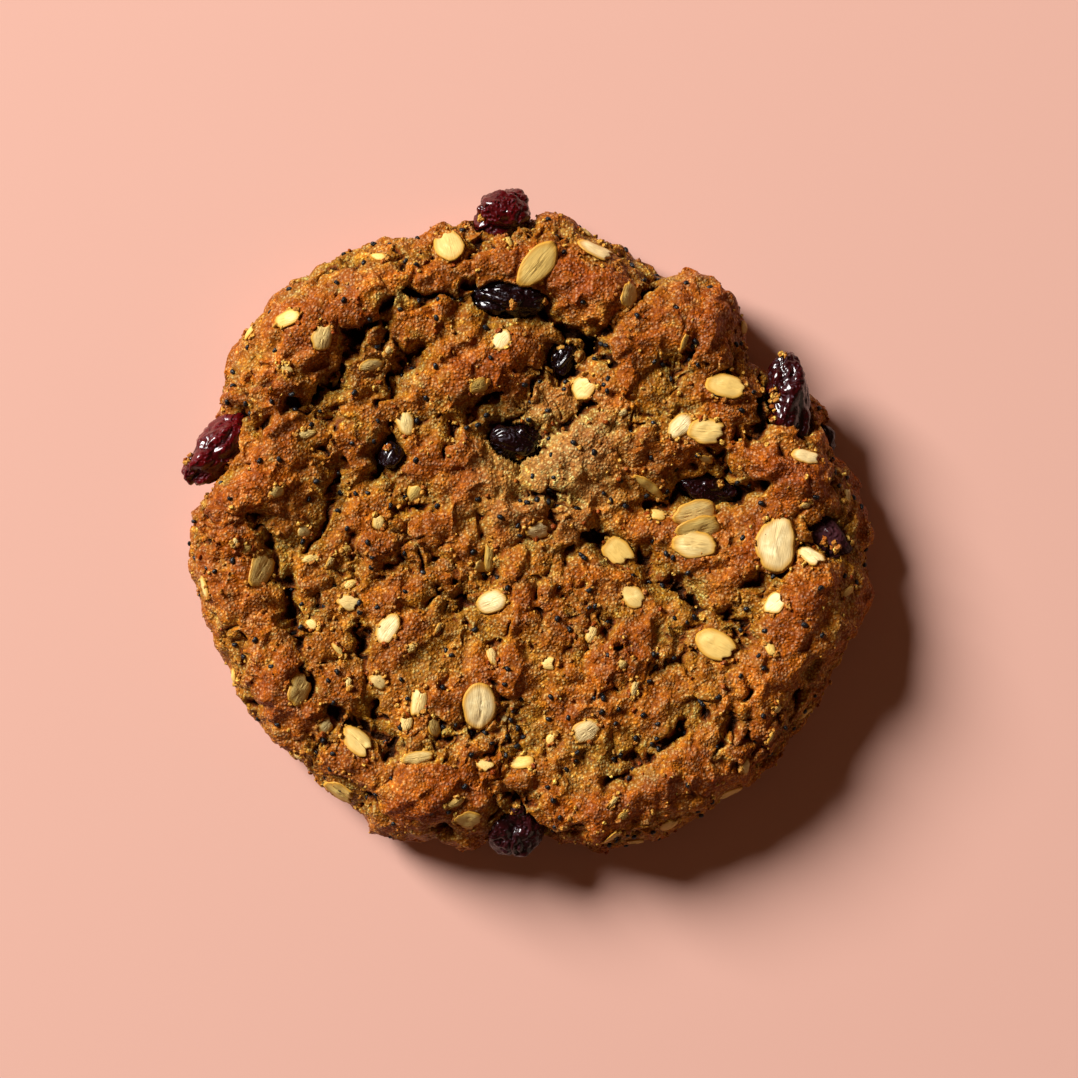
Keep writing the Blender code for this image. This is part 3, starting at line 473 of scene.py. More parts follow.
def clear_of(x, y, radius, taken):
    """Whether a round patch is clear of the cranberries and of every patch already taken."""
    spot = np.array(((x, y, 0.0),))
    for name in CRANBERRIES:
        if from_berry(spot, name)[0] < radius + BERRY_CLEARANCE:
            return False
    return all(math.hypot(x - other_x, y - other_y) > radius + other for other_x, other_y, other in taken)


def scatter(count, spacing, radius, taken, draw):
    """Places spread evenly over the top, apart from each other and clear of what lies there."""
    places = []
    for _ in range(SCATTER_TRIES):
        if len(places) == count:
            break
        turn = draw.uniform(0.0, 2.0 * math.pi)
        out = math.sqrt(draw.uniform(0.0, 1.0)) * SCATTER_REACH * outline_radius(np.array([turn]))[0]
        x, y = out * math.cos(turn), out * math.sin(turn)
        apart = all(math.hypot(x - px, y - py) > spacing for px, py in places)
        if apart and clear_of(x, y, radius, taken):
            places.append((x, y))
    return places


def solid_scatter():
    """The broken bits of flake and the seeds that the solid has, from the same draws."""
    draw = np.random.default_rng(SCATTER_SEED)
    taken = [(row[0] * MM, row[1] * MM, 0.5 * row[2] * MM) for row in FLAKES]
    bits = []
    for x, y in scatter(BITS, BIT_SPACING, BIT_LENGTH[1] / 2, taken, draw):
        length = draw.uniform(*BIT_LENGTH)
        bits.append((x / MM, y / MM, length / MM, BIT_WIDTH * length / MM, draw.uniform(0.0, 180.0), 0.0))
        taken.append((x, y, 0.5 * length))
    return bits, scatter(SEEDS, SEED_SPACING, SEED_RADIUS, taken, draw)


bits, fused_seeds = solid_scatter()
print(len(bits), "bits of flake and", len(fused_seeds), "seeds from the solid")
ALL_FLAKES = FLAKES + FRAGMENTS + tuple(bits)

# %% [markdown]
# ## Resting things on the crust, and the nests under the flakes
# A flake can't be placed before the crust is there, and the crust has to give way to the flake.
# So under each flake we find the plane that fits the crust best, by least squares, and press the
# crust onto it; it fades back to the rough crust at the flake's edge. To smooth other places we
# blur the grid row by row and column by column, which is much faster than looking at each
# corner's neighbours.

# %% Grid, blur and nests
GRID = 440
NEST_SINK = 0.34 * MM
NEST_EDGE = 0.40 * MM
NEST_FADE_CELLS = 3


def disc_grid(count):
    """A square grid of count by count cells bent into a disc: angle and reach of each corner."""
    a, b = np.meshgrid(np.linspace(-1, 1, count + 1), np.linspace(-1, 1, count + 1), indexing="ij")
    wide = np.abs(a) > np.abs(b)
    with np.errstate(divide="ignore", invalid="ignore"):
        angle = np.where(wide, np.pi / 4 * b / a, np.pi / 2 - np.pi / 4 * a / b)
    reach = np.where(wide, a, b)
    angle = np.where(reach == 0, 0.0, np.where(reach < 0, angle + np.pi, angle))
    return angle.ravel(), np.abs(reach).ravel()


def blurred(values, cells):
    """A grid of values with everything narrower than about that many cells smoothed away."""
    side = int(math.sqrt(len(values)))
    weights = np.exp(-0.5 * (np.arange(-2 * cells, 2 * cells + 1) / cells) ** 2)
    weights /= weights.sum()
    grid = values.reshape(side, side)
    for _ in range(2):
        padded = np.pad(grid, ((2 * cells, 2 * cells), (0, 0)), mode="edge")
        grid = sum(weight * padded[step:step + side] for step, weight in enumerate(weights)).T
    return grid.ravel()


def bed_down(points, rise):
    """Flatten the crust under each oat flake; also how much each corner belongs to a nest:
    1 under a flake, falling to 0 a little outside its edge."""
    rise = rise.copy()
    nests = np.zeros(len(points))
    for x, y, length, width, turn, _ in ALL_FLAKES:
        turn = math.radians(turn)
        offset = points[:, :2] - np.array((x, y)) * MM
        near = np.where(np.abs(offset).max(axis=1) < length * MM)[0]
        along = offset[near] @ (math.cos(turn), math.sin(turn)) / (0.5 * length * MM)
        across = offset[near] @ (-math.sin(turn), math.cos(turn)) / (0.5 * width * MM)
        outside = (np.hypot(along, across) - 1.0) * 0.5 * width * MM
        share = step_down(np.maximum(outside, 0.0), NEST_EDGE)
        if share.sum() < 1.0:
            continue
        plane = np.column_stack([offset[near], np.ones(len(near))])
        weights = share[:, None]
        slopes = np.linalg.lstsq(plane * weights, rise[near] * share, rcond=None)[0]
        rise[near] += share * (plane @ slopes - NEST_SINK - rise[near])
        nests[near] = np.maximum(nests[near], share)
    return rise, nests


angle, reach = disc_grid(GRID)
body, outward, inset = plain_surface(angle, reach)
rise = relief(body, inset)
roughness = roughness_of(body)
rise, nests = bed_down(body, rise)
print("crust stands out from", (rise.min() / MM).round(2), "to", (rise.max() / MM).round(2), "mm")

# %% [markdown]
# ## Crumbs as real geometry
# Up close the crust is a mass of crumbs up to two millimetres across with sandy grain on them. A
# bump texture alone would look painted on at the edge of the cookie, so we move the vertices:
# clumps, then granules, then grain, each smaller and lower than the last. Every clump has its
# own height, as torn dough does. Where the crust stayed whole it is smoothed a little instead,
# and gets hardly more than grain. Last, every place is also pushed a little sideways, so that
# crumbs lean over the creases, but not in the nests, which have to stay where the flakes will be.

# %% Fine relief
RAGGED_FINE_SIZE = 1.5 * MM
RAGGED_FINE = 0.7 * MM
SUNK_CELLS = 12
SUNK_DEPTH = (-0.4 * MM, 1.4 * MM)
TORN_BY_ROUGHNESS = 0.75
TORN_BY_DEPTH = 0.6
BROKEN_FROM = 0.56
BROKEN_TO = 1.05
SOFT_CELLS = 6
SOFT_SHARE = 0.85
CLUMP_SIZE = 1.7 * MM
CLUMP_RISE = 0.8 * MM
CLUMP_EDGE = 0.30
CLUMP_LEVEL = 0.5
WHOLE_CLUMPS = 0.06
WHOLE_GRANULES = 0.2
WHOLE_PITS = 0.2
NEST_SMOOTH = 0.95
NEST_HELD = 0.4
GRANULE_SIZE = 0.85 * MM
GRANULE_RISE = 0.34 * MM
GRANULE_EDGE = 0.4
GRAIN_SIZE = 0.55 * MM
GRAIN_RISE = 0.13 * MM
LEAN_SIZE = 2.4 * MM
LEAN = 1.0 * MM
PIT_SIZE = 2.0 * MM
PIT_SHARE = 0.66
PIT_DEPTH = 1.2 * MM


def broken_share(roughness, height):
    """1 where the crust is torn and crumbly, 0 where it stayed whole; hollows are more torn."""
    sunk = level_of(blurred(height, SUNK_CELLS) - height, *SUNK_DEPTH)
    torn = TORN_BY_ROUGHNESS * roughness + TORN_BY_DEPTH * sunk
    return 1.0 - step_down(np.maximum(torn - BROKEN_FROM, 0.0), BROKEN_TO - BROKEN_FROM)


def fine_relief(points, broken):
    """Clumps, granules, grain and small pits, higher where the crust is broken."""
    ragged = wandered(points, RAGGED_FINE_SIZE, RAGGED_FINE, 101)
    clump_share = WHOLE_CLUMPS + (1.0 - WHOLE_CLUMPS) * broken
    rise = CLUMP_RISE * clump_share * (clumps(ragged, CLUMP_SIZE, 111, CLUMP_EDGE) - CLUMP_LEVEL)
    granule_share = WHOLE_GRANULES + (1.0 - WHOLE_GRANULES) * broken
    granules = clumps(ragged, GRANULE_SIZE, 121, GRANULE_EDGE)
    rise += GRANULE_RISE * granule_share * (granules - CLUMP_LEVEL)
    rise += GRAIN_RISE * (billows(points, GRAIN_SIZE, 131) - LUMP_LEVEL)
    pitted = step_down(rolling(ragged, PIT_SIZE, 141) + 1.0, PIT_SHARE)
    return rise - PIT_DEPTH * (WHOLE_PITS + broken) * pitted


broken = broken_share(roughness, rise)
rise += SOFT_SHARE * (1.0 - broken) * (blurred(rise, SOFT_CELLS) - rise)
crumbs = fine_relief(body, broken) * (1.0 - NEST_SMOOTH * nests)
settled = np.clip((1.0 - reach) / FOOT_BAND, FOOT_RELIEF, 1.0)
crust = body + outward * (settled * (rise + crumbs))[:, None]
free = 1.0 - level_of(blurred(nests, NEST_FADE_CELLS), 0.0, NEST_HELD)
crust += free[:, None] * (wandered(crust, LEAN_SIZE, LEAN, 151) - crust)
print("fine relief from", (crumbs.min() / MM).round(2), "to", (crumbs.max() / MM).round(2), "mm")

# %% [markdown]
# ## Pockets for the cranberries
# Where the crust would run through a cranberry, its corners are pushed away to the far side of
# the berry: straight down in the middle of the cookie, and inward at the rim. That leaves a
# pocket with a dark gap round the berry, as in the real thing.

# %% Push the crust out of the berries
POCKET_GAP = 0.18 * MM
RIM_START = 36.0 * MM
RIM_END = 48.0 * MM
RIM_LEAN = math.radians(62)


def pushed_away(points, name):
    """The points, with those inside a cranberry's pocket moved to the far side of it."""
    centre, halves, axes = berry_frame(name)
    grown = halves + POCKET_GAP
    out = np.linalg.norm(centre[:2])
    lean = RIM_LEAN * float(np.clip((out - RIM_START) / (RIM_END - RIM_START), 0.0, 1.0))
    away = -np.array((*(centre[:2] / out * math.sin(lean)), math.cos(lean)))
    local = ((points - centre) @ axes) / grown
    inside = (local ** 2).sum(axis=1) < 1.0
    step = (away @ axes) / grown
    middle = local[inside] @ step
    spare = (local[inside] ** 2).sum(axis=1) - 1.0
    travel = (-middle + np.sqrt(middle ** 2 - (step @ step) * spare)) / (step @ step)
    points[inside] += travel[:, None] * away
    return int(inside.sum())


moved = sum(pushed_away(crust, name) for name in CRANBERRIES)
crust[:, 2] = np.maximum(crust[:, 2], 0.0)
print(moved, "corners of the crust moved out of the cranberries")

# %% [markdown]
# ## The crust as a mesh
# The grid becomes quads. Below, rings run from the foot to the middle, level with the table and
# barely pitted, because that side baked on a tray. Five numbers go with each vertex for the
# material to read: how deep it lies in a hollow, how far it stands up, whether a broad valley
# runs there, how pale the dough is, and whether it is on the underside. Two square patches of a
# UV map, one for each side, keep baked textures sharp.

# %% Helpers for meshes
def add_object(name, mesh):
    """Put a mesh in the scene under a name, riding on the cookie's one body."""
    piece = bpy.data.objects.new(name, mesh)
    bpy.context.scene.collection.objects.link(piece)
    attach(piece, "root")
    return piece


def store(mesh, name, values):
    """Keep one number for each vertex, which a material can read by name."""
    attribute = mesh.attributes.new(name, "FLOAT", "POINT")
    attribute.data.foreach_set("value", np.asarray(values, dtype=np.float32))


# %% Build the crust
UNDERSIDE_RINGS = 14
UNDERSIDE_PITS = 0.10 * MM
RING_CROWDING = 1.3


def grid_faces(count):
    """The quads of the grid, and the loop of corners round its edge."""
    row = count + 1
    corner = (np.arange(count)[:, None] * row + np.arange(count)[None, :]).ravel()
    faces = np.column_stack([corner, corner + row, corner + row + 1, corner + 1])
    edge = [i * row for i in range(count)]
    edge += [count * row + j for j in range(count)]
    edge += [i * row + count for i in range(count, 0, -1)]
    edge += list(range(count, 0, -1))
    return faces, np.array(edge)


def underside(edge, first):
    """Rings of corners from the foot to the middle of the underside, and the faces between."""
    foot = crust[edge].copy()
    foot[:, 2] = 0.0
    rings = []
    for ring in range(1, UNDERSIDE_RINGS):
        share = 1.0 - (ring / UNDERSIDE_RINGS) ** RING_CROWDING
        flat = foot * share
        flat[:, 2] = UNDERSIDE_PITS * billows(flat, CRUMB_SIZE, 161)
        rings.append(flat)
    middle = np.zeros((1, 3))
    loops = [edge]
    for ring in range(UNDERSIDE_RINGS - 1):
        loops.append(first + ring * len(edge) + np.arange(len(edge)))
    quads = [np.column_stack([outer, np.roll(outer, -1), np.roll(inner, -1), inner])[:, ::-1]
             for outer, inner in zip(loops, loops[1:])]
    last = loops[-1]
    hub = np.full(len(last), first + (UNDERSIDE_RINGS - 1) * len(edge))
    fan = np.column_stack([np.roll(last, -1), last, hub])
    return np.concatenate(rings + [middle]), np.concatenate(quads), fan


faces, edge = grid_faces(GRID)
crust[edge, 2] = 0.0
below, below_quads, below_fan = underside(edge, len(crust))
corners = np.concatenate([crust, below])
crust_mesh = bpy.data.meshes.new("crust")
crust_mesh.from_pydata(corners.tolist(), [], faces.tolist() + below_quads.tolist() + below_fan.tolist())
crust_mesh.shade_smooth()
dough = add_object("crust", crust_mesh)
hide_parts("dough")
print("crust:", len(corners), "corners,", len(crust_mesh.polygons), "faces")

# %% Numbers for the crust's material
HOLLOW_CELLS = 4
HOLLOW_DEPTH = (0.05 * MM, 0.95 * MM)
WIDE_CELLS = 9
WIDE_DEPTH = (0.5 * MM, 2.2 * MM)
BROAD_CELLS = 14
RAISED_BY = (-1.6 * MM, 1.6 * MM)
VALLEY_DEPTH = (-0.6 * MM, 1.2 * MM)
PALE_MIDDLE = (4.0 * MM, 10.0 * MM)
PALE_RADIUS = 17.0 * MM
PALE_RAGGED = 0.5

height = rise + crumbs
narrow = level_of(blurred(height, HOLLOW_CELLS) - height, *HOLLOW_DEPTH)
wide = level_of(blurred(height, WIDE_CELLS) - height, *WIDE_DEPTH)
# The crust's material paints shade where this is high, and seeds gather there
hollow = np.maximum(narrow, wide)
broad = blurred(height, BROAD_CELLS)
raised = level_of(height - broad, *RAISED_BY)
valley = level_of(blurred(broad, BROAD_CELLS) - broad, *VALLEY_DEPTH)
from_pale = np.linalg.norm(body[:, :2] - np.array(PALE_MIDDLE), axis=1)
pale = step_down(from_pale, PALE_RADIUS * (1.0 + PALE_RAGGED * rolling(body, FOLD_SIZE, 171)))
none_below = np.zeros(len(below))
for name, values in (("hollow", hollow), ("raised", raised), ("valley", valley), ("pale", pale)):
    store(crust_mesh, name, np.concatenate([values, none_below]))
store(crust_mesh, "underside", np.concatenate([1.0 - settled, none_below + 1.0]))
print("mean hollow", hollow.mean().round(3), "mean raised", raised.mean().round(3))

# %% Lay the crust out flat for baking
TOP_SHARE = 0.78
UV_MARGIN = 0.01


def lay_out(mesh, top_faces):
    """A UV map with the upper grid as one large square and the underside as a small one."""
    layout = mesh.uv_layers.new(name="OFBake")
    index = np.zeros(len(mesh.loops), dtype=np.int32)
    mesh.loops.foreach_get("vertex_index", index)
    row = GRID + 1
    upper = np.column_stack([index // row, index % row]) / GRID * TOP_SHARE + UV_MARGIN
    span = 1.0 - TOP_SHARE - 3.0 * UV_MARGIN
    lower = (corners[index][:, :2] / (2.0 * np.abs(corners[edge][:, :2]).max()) + 0.5) * span
    lower += np.array((TOP_SHARE + 2.0 * UV_MARGIN, UV_MARGIN))
    above = np.arange(len(index)) < 4 * top_faces
    layout.data.foreach_set("uv", np.where(above[:, None], upper, lower).astype(np.float32).ravel())


lay_out(crust_mesh, len(faces))
print("UV map:", crust_mesh.uv_layers[0].name)

# %% [markdown]
# ## Finding the surface again
# Flakes, seeds and crumbs all have to lie on the finished crust. A search tree of its faces
# tells us how high it is under any place, and a few probes round the place give its slope.

# %% Probes on the crust
SKY = 1.0
REST_PROBES = 8
REST_REACH = 0.42


def tree_of(mesh):
    """A search tree over a mesh's faces."""
    places = np.zeros(len(mesh.vertices) * 3)
    mesh.vertices.foreach_get("co", places)
    polygons = [tuple(face.vertices) for face in mesh.polygons]
    return BVHTree.FromPolygons(places.reshape(-1, 3).tolist(), polygons)


def height_at(x, y):
    """Height of the crust straight under a place, or None off the cookie."""
    hit = crust_tree.ray_cast(Vector((x, y, SKY)), Vector((0.0, 0.0, -1.0)))
    return hit[0].z if hit[0] is not None else None


def resting_frame(x, y, radius):
    """Centre and upward direction of a plane laid on the crust round a place."""
    rests = []
    for step in range(REST_PROBES):
        turn = 2.0 * math.pi * step / REST_PROBES
        shift_x, shift_y = radius * math.cos(turn), radius * math.sin(turn)
        height = height_at(x + shift_x, y + shift_y)
        if height is not None:
            rests.append((shift_x, shift_y, height))
    middle = height_at(x, y)
    rests.append((0.0, 0.0, middle))
    places = np.array(rests)
    slopes = np.column_stack([places[:, :2], np.ones(len(places))])
    east, north, level = np.linalg.lstsq(slopes, places[:, 2], rcond=None)[0]
    return np.array((x, y, 0.5 * (level + middle))), Vector((-east, -north, 1.0)).normalized()


def rotation(kind, degrees):
    """A turn about one axis."""
    return Matrix.Rotation(math.radians(degrees), 3, kind)


crust_tree = tree_of(crust_mesh)
print("crust is", round(height_at(0.0, 0.0) / MM, 1), "mm high in the middle")

# %% [markdown]
# ## Rolled oat flakes
# A rolled oat is a steamed grain pressed flat: an oval half a millimetre thick, thicker in the
# middle, with a groove along it where the grain folded, fine lines along its length, and a thin
# ragged edge. Every flake here is rings of corners from the middle out, on both faces, so its
# edge is really thin. All of them join into one mesh.

# %% Edge and broken end of a flake
WHOLE_FROM = 6.9 * MM
EDGE_WAVE = 0.9
EDGE_NICK = 0.35
NICK_SHARE = 0.45
BROKEN_STEP = 0.37
BROKEN_OFF = 0.7
STUMP_STEP = 0.71
STUMP_SHORTEST = 0.45
STUMP_MORE = 0.35
SNAP_SLANT = 0.4
SNAP_JAG = 0.05
JAG_SIZE = 0.25 * MM


def flake_outline(around, seed, raggedness):
    """How far a flake's edge lies from its middle, against a true oval."""
    place = np.column_stack([np.cos(around), np.sin(around), np.full_like(around, seed)])
    ragged = rolling(place, EDGE_WAVE, 201) + NICK_SHARE * rolling(place, EDGE_NICK, 205)
    return 1.0 + raggedness * ragged


def varied(seed, step):
    """A share from 0 to 1 that differs from one flake to the next."""
    return (seed * step) % 1.0


def snapped(along, across, length, seed):
    """The places along a flake, with one end snapped off on about seven in ten of them."""
    if varied(seed, BROKEN_STEP) > BROKEN_OFF or length > WHOLE_FROM:
        return along
    slant = SNAP_SLANT * math.sin(5.0 * seed)
    jagged = SNAP_JAG * length * np.sin(across / JAG_SIZE + seed)
    stump = STUMP_SHORTEST + STUMP_MORE * varied(seed, STUMP_STEP)
    return np.minimum(along, 0.5 * length * stump + slant * across + jagged)


print("flakes longer than", round(WHOLE_FROM / MM, 1), "mm are whole")

# %% Groove, lines and curl
GROOVE_WIDTH = 0.09
GROOVE_DEPTH = 0.22 * MM
LINES_RISE = 0.05 * MM
GROOVE_SWAY = 0.12
GROOVE_FADE = 0.6
GROOVE_BELOW = 0.4
LINES = 26.0
LINES_SWAY = 3.0
CURL_ALONG = 0.021
CURL_ACROSS = 0.035
WARP = 0.16 * MM
WARP_SIZE = 1.8 * MM
WARP_APART = 5.0 * MM


def shaped(points, length, width, seed, grooved):
    """The flat flake with its groove, its lines, its bent halves and its curl."""
    points = points.copy()
    upper = points[:, 2] > 0.0
    across = points[:, 1] / (0.5 * width)
    along = points[:, 0] / (0.5 * length)
    wavy = across + GROOVE_SWAY * np.sin(2.4 * along + seed)
    groove = grooved * np.exp(-(wavy / GROOVE_WIDTH) ** 2) * (1.0 - GROOVE_FADE * along ** 2)
    lines = LINES_RISE * np.sin(LINES * across + LINES_SWAY * np.sin(along * 2.0 + seed))
    points[:, 2] += np.where(upper, lines - GROOVE_DEPTH * groove, -GROOVE_BELOW * GROOVE_DEPTH * groove)
    curl_along = CURL_ALONG * math.sin(3.1 * seed) * length
    curl_across = CURL_ACROSS * (0.4 + 0.6 * math.cos(1.7 * seed)) * width
    points[:, 2] -= curl_along * along ** 2 * np.sign(along) + curl_across * across ** 2
    points[:, 2] += WARP * rolling(points + seed * WARP_APART, WARP_SIZE, 211)
    return points


print("groove", round(GROOVE_DEPTH / MM, 2), "mm deep")

# %% Corners and faces of a flake
FLAKE_RINGS = 7
FLAKE_AROUND = 36
FLAKE_THICKNESS = 0.62 * MM
FLAKE_THIN = 0.16
FLAKE_CROWDING = 0.8
FLAKE_FULLNESS = 2.6
BLUNT_END = 0.10


def flake(length, width, seed, grooved, raggedness):
    """Corners of one flake lying flat, and how near to the edge each is."""
    around = 2.0 * np.pi * np.arange(FLAKE_AROUND) / FLAKE_AROUND
    edge = flake_outline(around, seed, raggedness)
    blunt = 1.0 + BLUNT_END * math.sin(seed) * np.cos(around)
    faces_of_flake = []
    for side in (1.0, -1.0):
        rows = []
        for ring in range(FLAKE_RINGS, 0, -1):
            if side < 0 and ring == FLAKE_RINGS:
                continue
            share = (ring / FLAKE_RINGS) ** FLAKE_CROWDING
            along = 0.5 * length * share * edge * np.cos(around)
            across = 0.5 * width * share * edge * blunt * np.sin(around)
            along = snapped(along, across, length, seed)
            full = FLAKE_THIN + (1.0 - FLAKE_THIN) * (1.0 - share ** FLAKE_FULLNESS)
            up = side * 0.5 * FLAKE_THICKNESS * full * np.ones(FLAKE_AROUND)
            rows.append(np.column_stack([along, across, up, np.full(FLAKE_AROUND, share)]))
        rows.append(np.array([[0.0, 0.0, side * 0.5 * FLAKE_THICKNESS, 0.0]]))
        faces_of_flake.append(np.concatenate(rows))
    table = np.concatenate(faces_of_flake)
    return shaped(table[:, :3], length, width, seed, grooved), table[:, 3]


def flake_faces():
    """Quads between the rings of both faces, and the fans in their middles."""
    top = [ring * FLAKE_AROUND for ring in range(FLAKE_RINGS)]
    top_hub = FLAKE_RINGS * FLAKE_AROUND
    low = [0] + [top_hub + 1 + ring * FLAKE_AROUND for ring in range(FLAKE_RINGS - 1)]
    low_hub = low[-1] + FLAKE_AROUND
    made = []
    for side in range(FLAKE_AROUND):
        beside = (side + 1) % FLAKE_AROUND
        for outer, inner in zip(top, top[1:]):
            made.append((outer + side, outer + beside, inner + beside, inner + side))
        for outer, inner in zip(low, low[1:]):
            made.append((outer + beside, outer + side, inner + side, inner + beside))
        made.append((top[-1] + side, top[-1] + beside, top_hub))
        made.append((low[-1] + beside, low[-1] + side, low_hub))
    return made


FLAKE_FACES = flake_faces()
print("one flake has", len(FLAKE_FACES), "faces")

# %% Joining many small parts
def joined(name, parts, faces):
    """One mesh of many parts that share their faces' pattern; each part is (corners, numbers)."""
    count = len(parts[0][0])
    places = np.concatenate([points for points, _ in parts])
    every = [[corner + number * count for corner in face]
             for number in range(len(parts)) for face in faces]
    mesh = bpy.data.meshes.new(name)
    mesh.from_pydata(places.tolist(), [], every)
    mesh.shade_smooth()
    for title in parts[0][1]:
        store(mesh, title, np.concatenate([numbers[title] for _, numbers in parts]))
    return mesh


print("parts join into one mesh")

# %% Lay the flakes on the crust
FLAKE_LIFT = 0.10 * MM
PROUD_LIFT = 0.34 * MM
SHALLOW_GROOVE = 0.15
EDGE_RAGGED = 0.19
PROUD_RAGGED = 0.09
BACK_ON_CRUST = 0.985
TILT_LIFT = 0.25
PATTERN_UNIT = 5.0 * MM
TONE_STEP = 0.618
GOLDEN_TONES = 0.55
CREASED_FLAKES = ((-7.0, -26.7), (-27.3, -39.8), (-24.8, -32.2), (30.0, -40.0), (29.5, 20.4))
PROUD_FLAKES = ((-7.0, -26.7), (1.6, 38.2), (10.5, 40.2), (-11.5, 41.2), (-5.1, -11.4), (27.9, -17.8))
PALE_FLAKES = ((-3.7, 27.3), (22.6, 14.5), (41.3, 10.0), (41.9, -4.7), (36.6, -11.6), (1.8, -0.7),
               (-5.1, -11.4), (-20.4, -15.4), (8.8, -30.4), (10.5, 40.2), (36.6, -2.7), (-7.0, -26.7))


def tone_of(row, seed):
    """How pale a flake is: the named ones nearly white, the others from golden to cream."""
    if row[:2] in PALE_FLAKES:
        return 1.0
    return GOLDEN_TONES * varied(seed, TONE_STEP)


def laid_flake(row, seed):
    """One flake in its place, with its numbers for the material."""
    x, y, length, width = (value * MM for value in row[:4])
    turn, tilt = row[4:]
    while height_at(x, y) is None:
        x, y = BACK_ON_CRUST * x, BACK_ON_CRUST * y
    centre, up = resting_frame(x, y, REST_REACH * min(length, width))
    grooved = 1.0 if row[:2] in CREASED_FLAKES else SHALLOW_GROOVE
    proud = row[:2] in PROUD_FLAKES
    points, share = flake(length, width, seed, grooved, PROUD_RAGGED if proud else EDGE_RAGGED)
    lay = Vector((0.0, 0.0, 1.0)).rotation_difference(up).to_matrix()
    axes = np.array(lay @ rotation("Z", turn) @ rotation("X", tilt))
    lift = PROUD_LIFT if proud else FLAKE_LIFT
    lift += TILT_LIFT * width * abs(math.sin(math.radians(tilt)))
    numbers = {"rim": share,
               "along": points[:, 0] / PATTERN_UNIT,
               "across": points[:, 1] / PATTERN_UNIT,
               "flake_tone": np.full(len(points), tone_of(row, seed))}
    return centre + np.array(up) * lift + points @ axes.T, numbers


parts = [laid_flake(row, number + 1.0) for number, row in enumerate(ALL_FLAKES)]
oat_mesh = joined("oat_flakes", parts, FLAKE_FACES)
oats = add_object("oat_flakes", oat_mesh)
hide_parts("dough")
print("oat flakes:", len(parts), "in", len(oat_mesh.polygons), "faces")

# %% [markdown]
# ## Poppy seeds
# Poppy seeds are nearly black kidneys under a millimetre long. The largest lie where the solid
# has them; we add more at corners of the crust, mostly in the hollows, where they gather. All of
# them share one small mesh that is dented into a kidney.

# %% Draw more places from the crust's own corners
MORE_SEEDS = 330
MORE_SPACING = 1.0 * MM
FOOT_CLEAR = 3.0 * MM
BERRY_SKIRT = 0.2 * MM
TRIES_EACH = 12
SEED_DRAW = 23
SEEDS_KEPT_OFF_FLAKES = 0.9
SEEDS_ANYWHERE = 0.25
SEEDS_IN_HOLLOWS = 1.6
SEEDS_IN_VALLEYS = 0.9
SEEDS_ON_PALE = 0.8


def drawn_corners(count, weight, spacing, draw):
    """Corners of the crust drawn by weight, none nearer to another than the spacing."""
    tries = min(TRIES_EACH * count, len(weight))
    order = draw.choice(len(weight), size=tries, replace=False, p=weight / weight.sum())
    chosen = []
    for corner in order:
        if len(chosen) == count:
            break
        near = np.linalg.norm(crust[chosen] - crust[corner], axis=1) if chosen else np.array([1.0])
        if near.min() > spacing:
            chosen.append(int(corner))
    return chosen


normals = np.zeros(3 * len(crust_mesh.vertices))
crust_mesh.vertex_normals.foreach_get("vector", normals)
normals = normals.reshape(-1, 3)[:len(crust)]
clear = np.ones(len(crust))
for name in CRANBERRIES:
    clear[from_berry(crust, name) < BERRY_SKIRT] = 0.0
clear[crust[:, 2] < FOOT_CLEAR] = 0.0
draw = np.random.default_rng(SEED_DRAW)
gathered = SEEDS_ANYWHERE + SEEDS_IN_HOLLOWS * hollow + SEEDS_IN_VALLEYS * valley + SEEDS_ON_PALE * pale
seed_weight = clear * (1.0 - SEEDS_KEPT_OFF_FLAKES * nests) * gathered
more_seeds = drawn_corners(MORE_SEEDS, seed_weight, MORE_SPACING, draw)
print(len(more_seeds), "more seeds")

# %% Make the seeds
KIDNEY = (1.12, 0.92, 0.84)
DENT = 0.34
DENT_WIDTH = 0.42
NET_RISE = 0.05
NET_SIZE = 0.55
NET_EDGE = 0.35
SEED_STANDS = 0.35
SEED_STANDS_FROM = -0.2
SMALLEST_SEED = 0.78


def ball(subdivisions):
    """Corners and triangles of a small ball of radius 1."""
    build = bmesh.new()
    bmesh.ops.create_icosphere(build, subdivisions=subdivisions, radius=1.0)
    points = np.array([tuple(vertex.co) for vertex in build.verts])
    triangles = [[vertex.index for vertex in face.verts] for face in build.faces]
    build.free()
    return points, triangles


def kidney(points):
    """A ball squashed and dented on one side into a poppy seed, with a faint net on it."""
    dent = DENT * np.exp(-((points[:, 0] / DENT_WIDTH) ** 2)) * np.clip(points[:, 1], 0.0, 1.0)
    shape = points * np.array(KIDNEY)
    shape[:, 1] -= dent
    net = cobbles(points, NET_SIZE, 221, NET_EDGE) - COBBLE_LEVEL
    return shape * (1.0 + NET_RISE * net)[:, None]


def set_down(points, centre, up, turn, stands, size, numbers):
    """A small thing turned, scaled and laid on the crust, its middle standing out by so much,
    with its numbers for the material."""
    lay = Vector((0.0, 0.0, 1.0)).rotation_difference(Vector(up)).to_matrix()
    axes = np.array(lay @ rotation("Z", turn))
    return centre + np.array(up) * stands + (points * size) @ axes.T, numbers


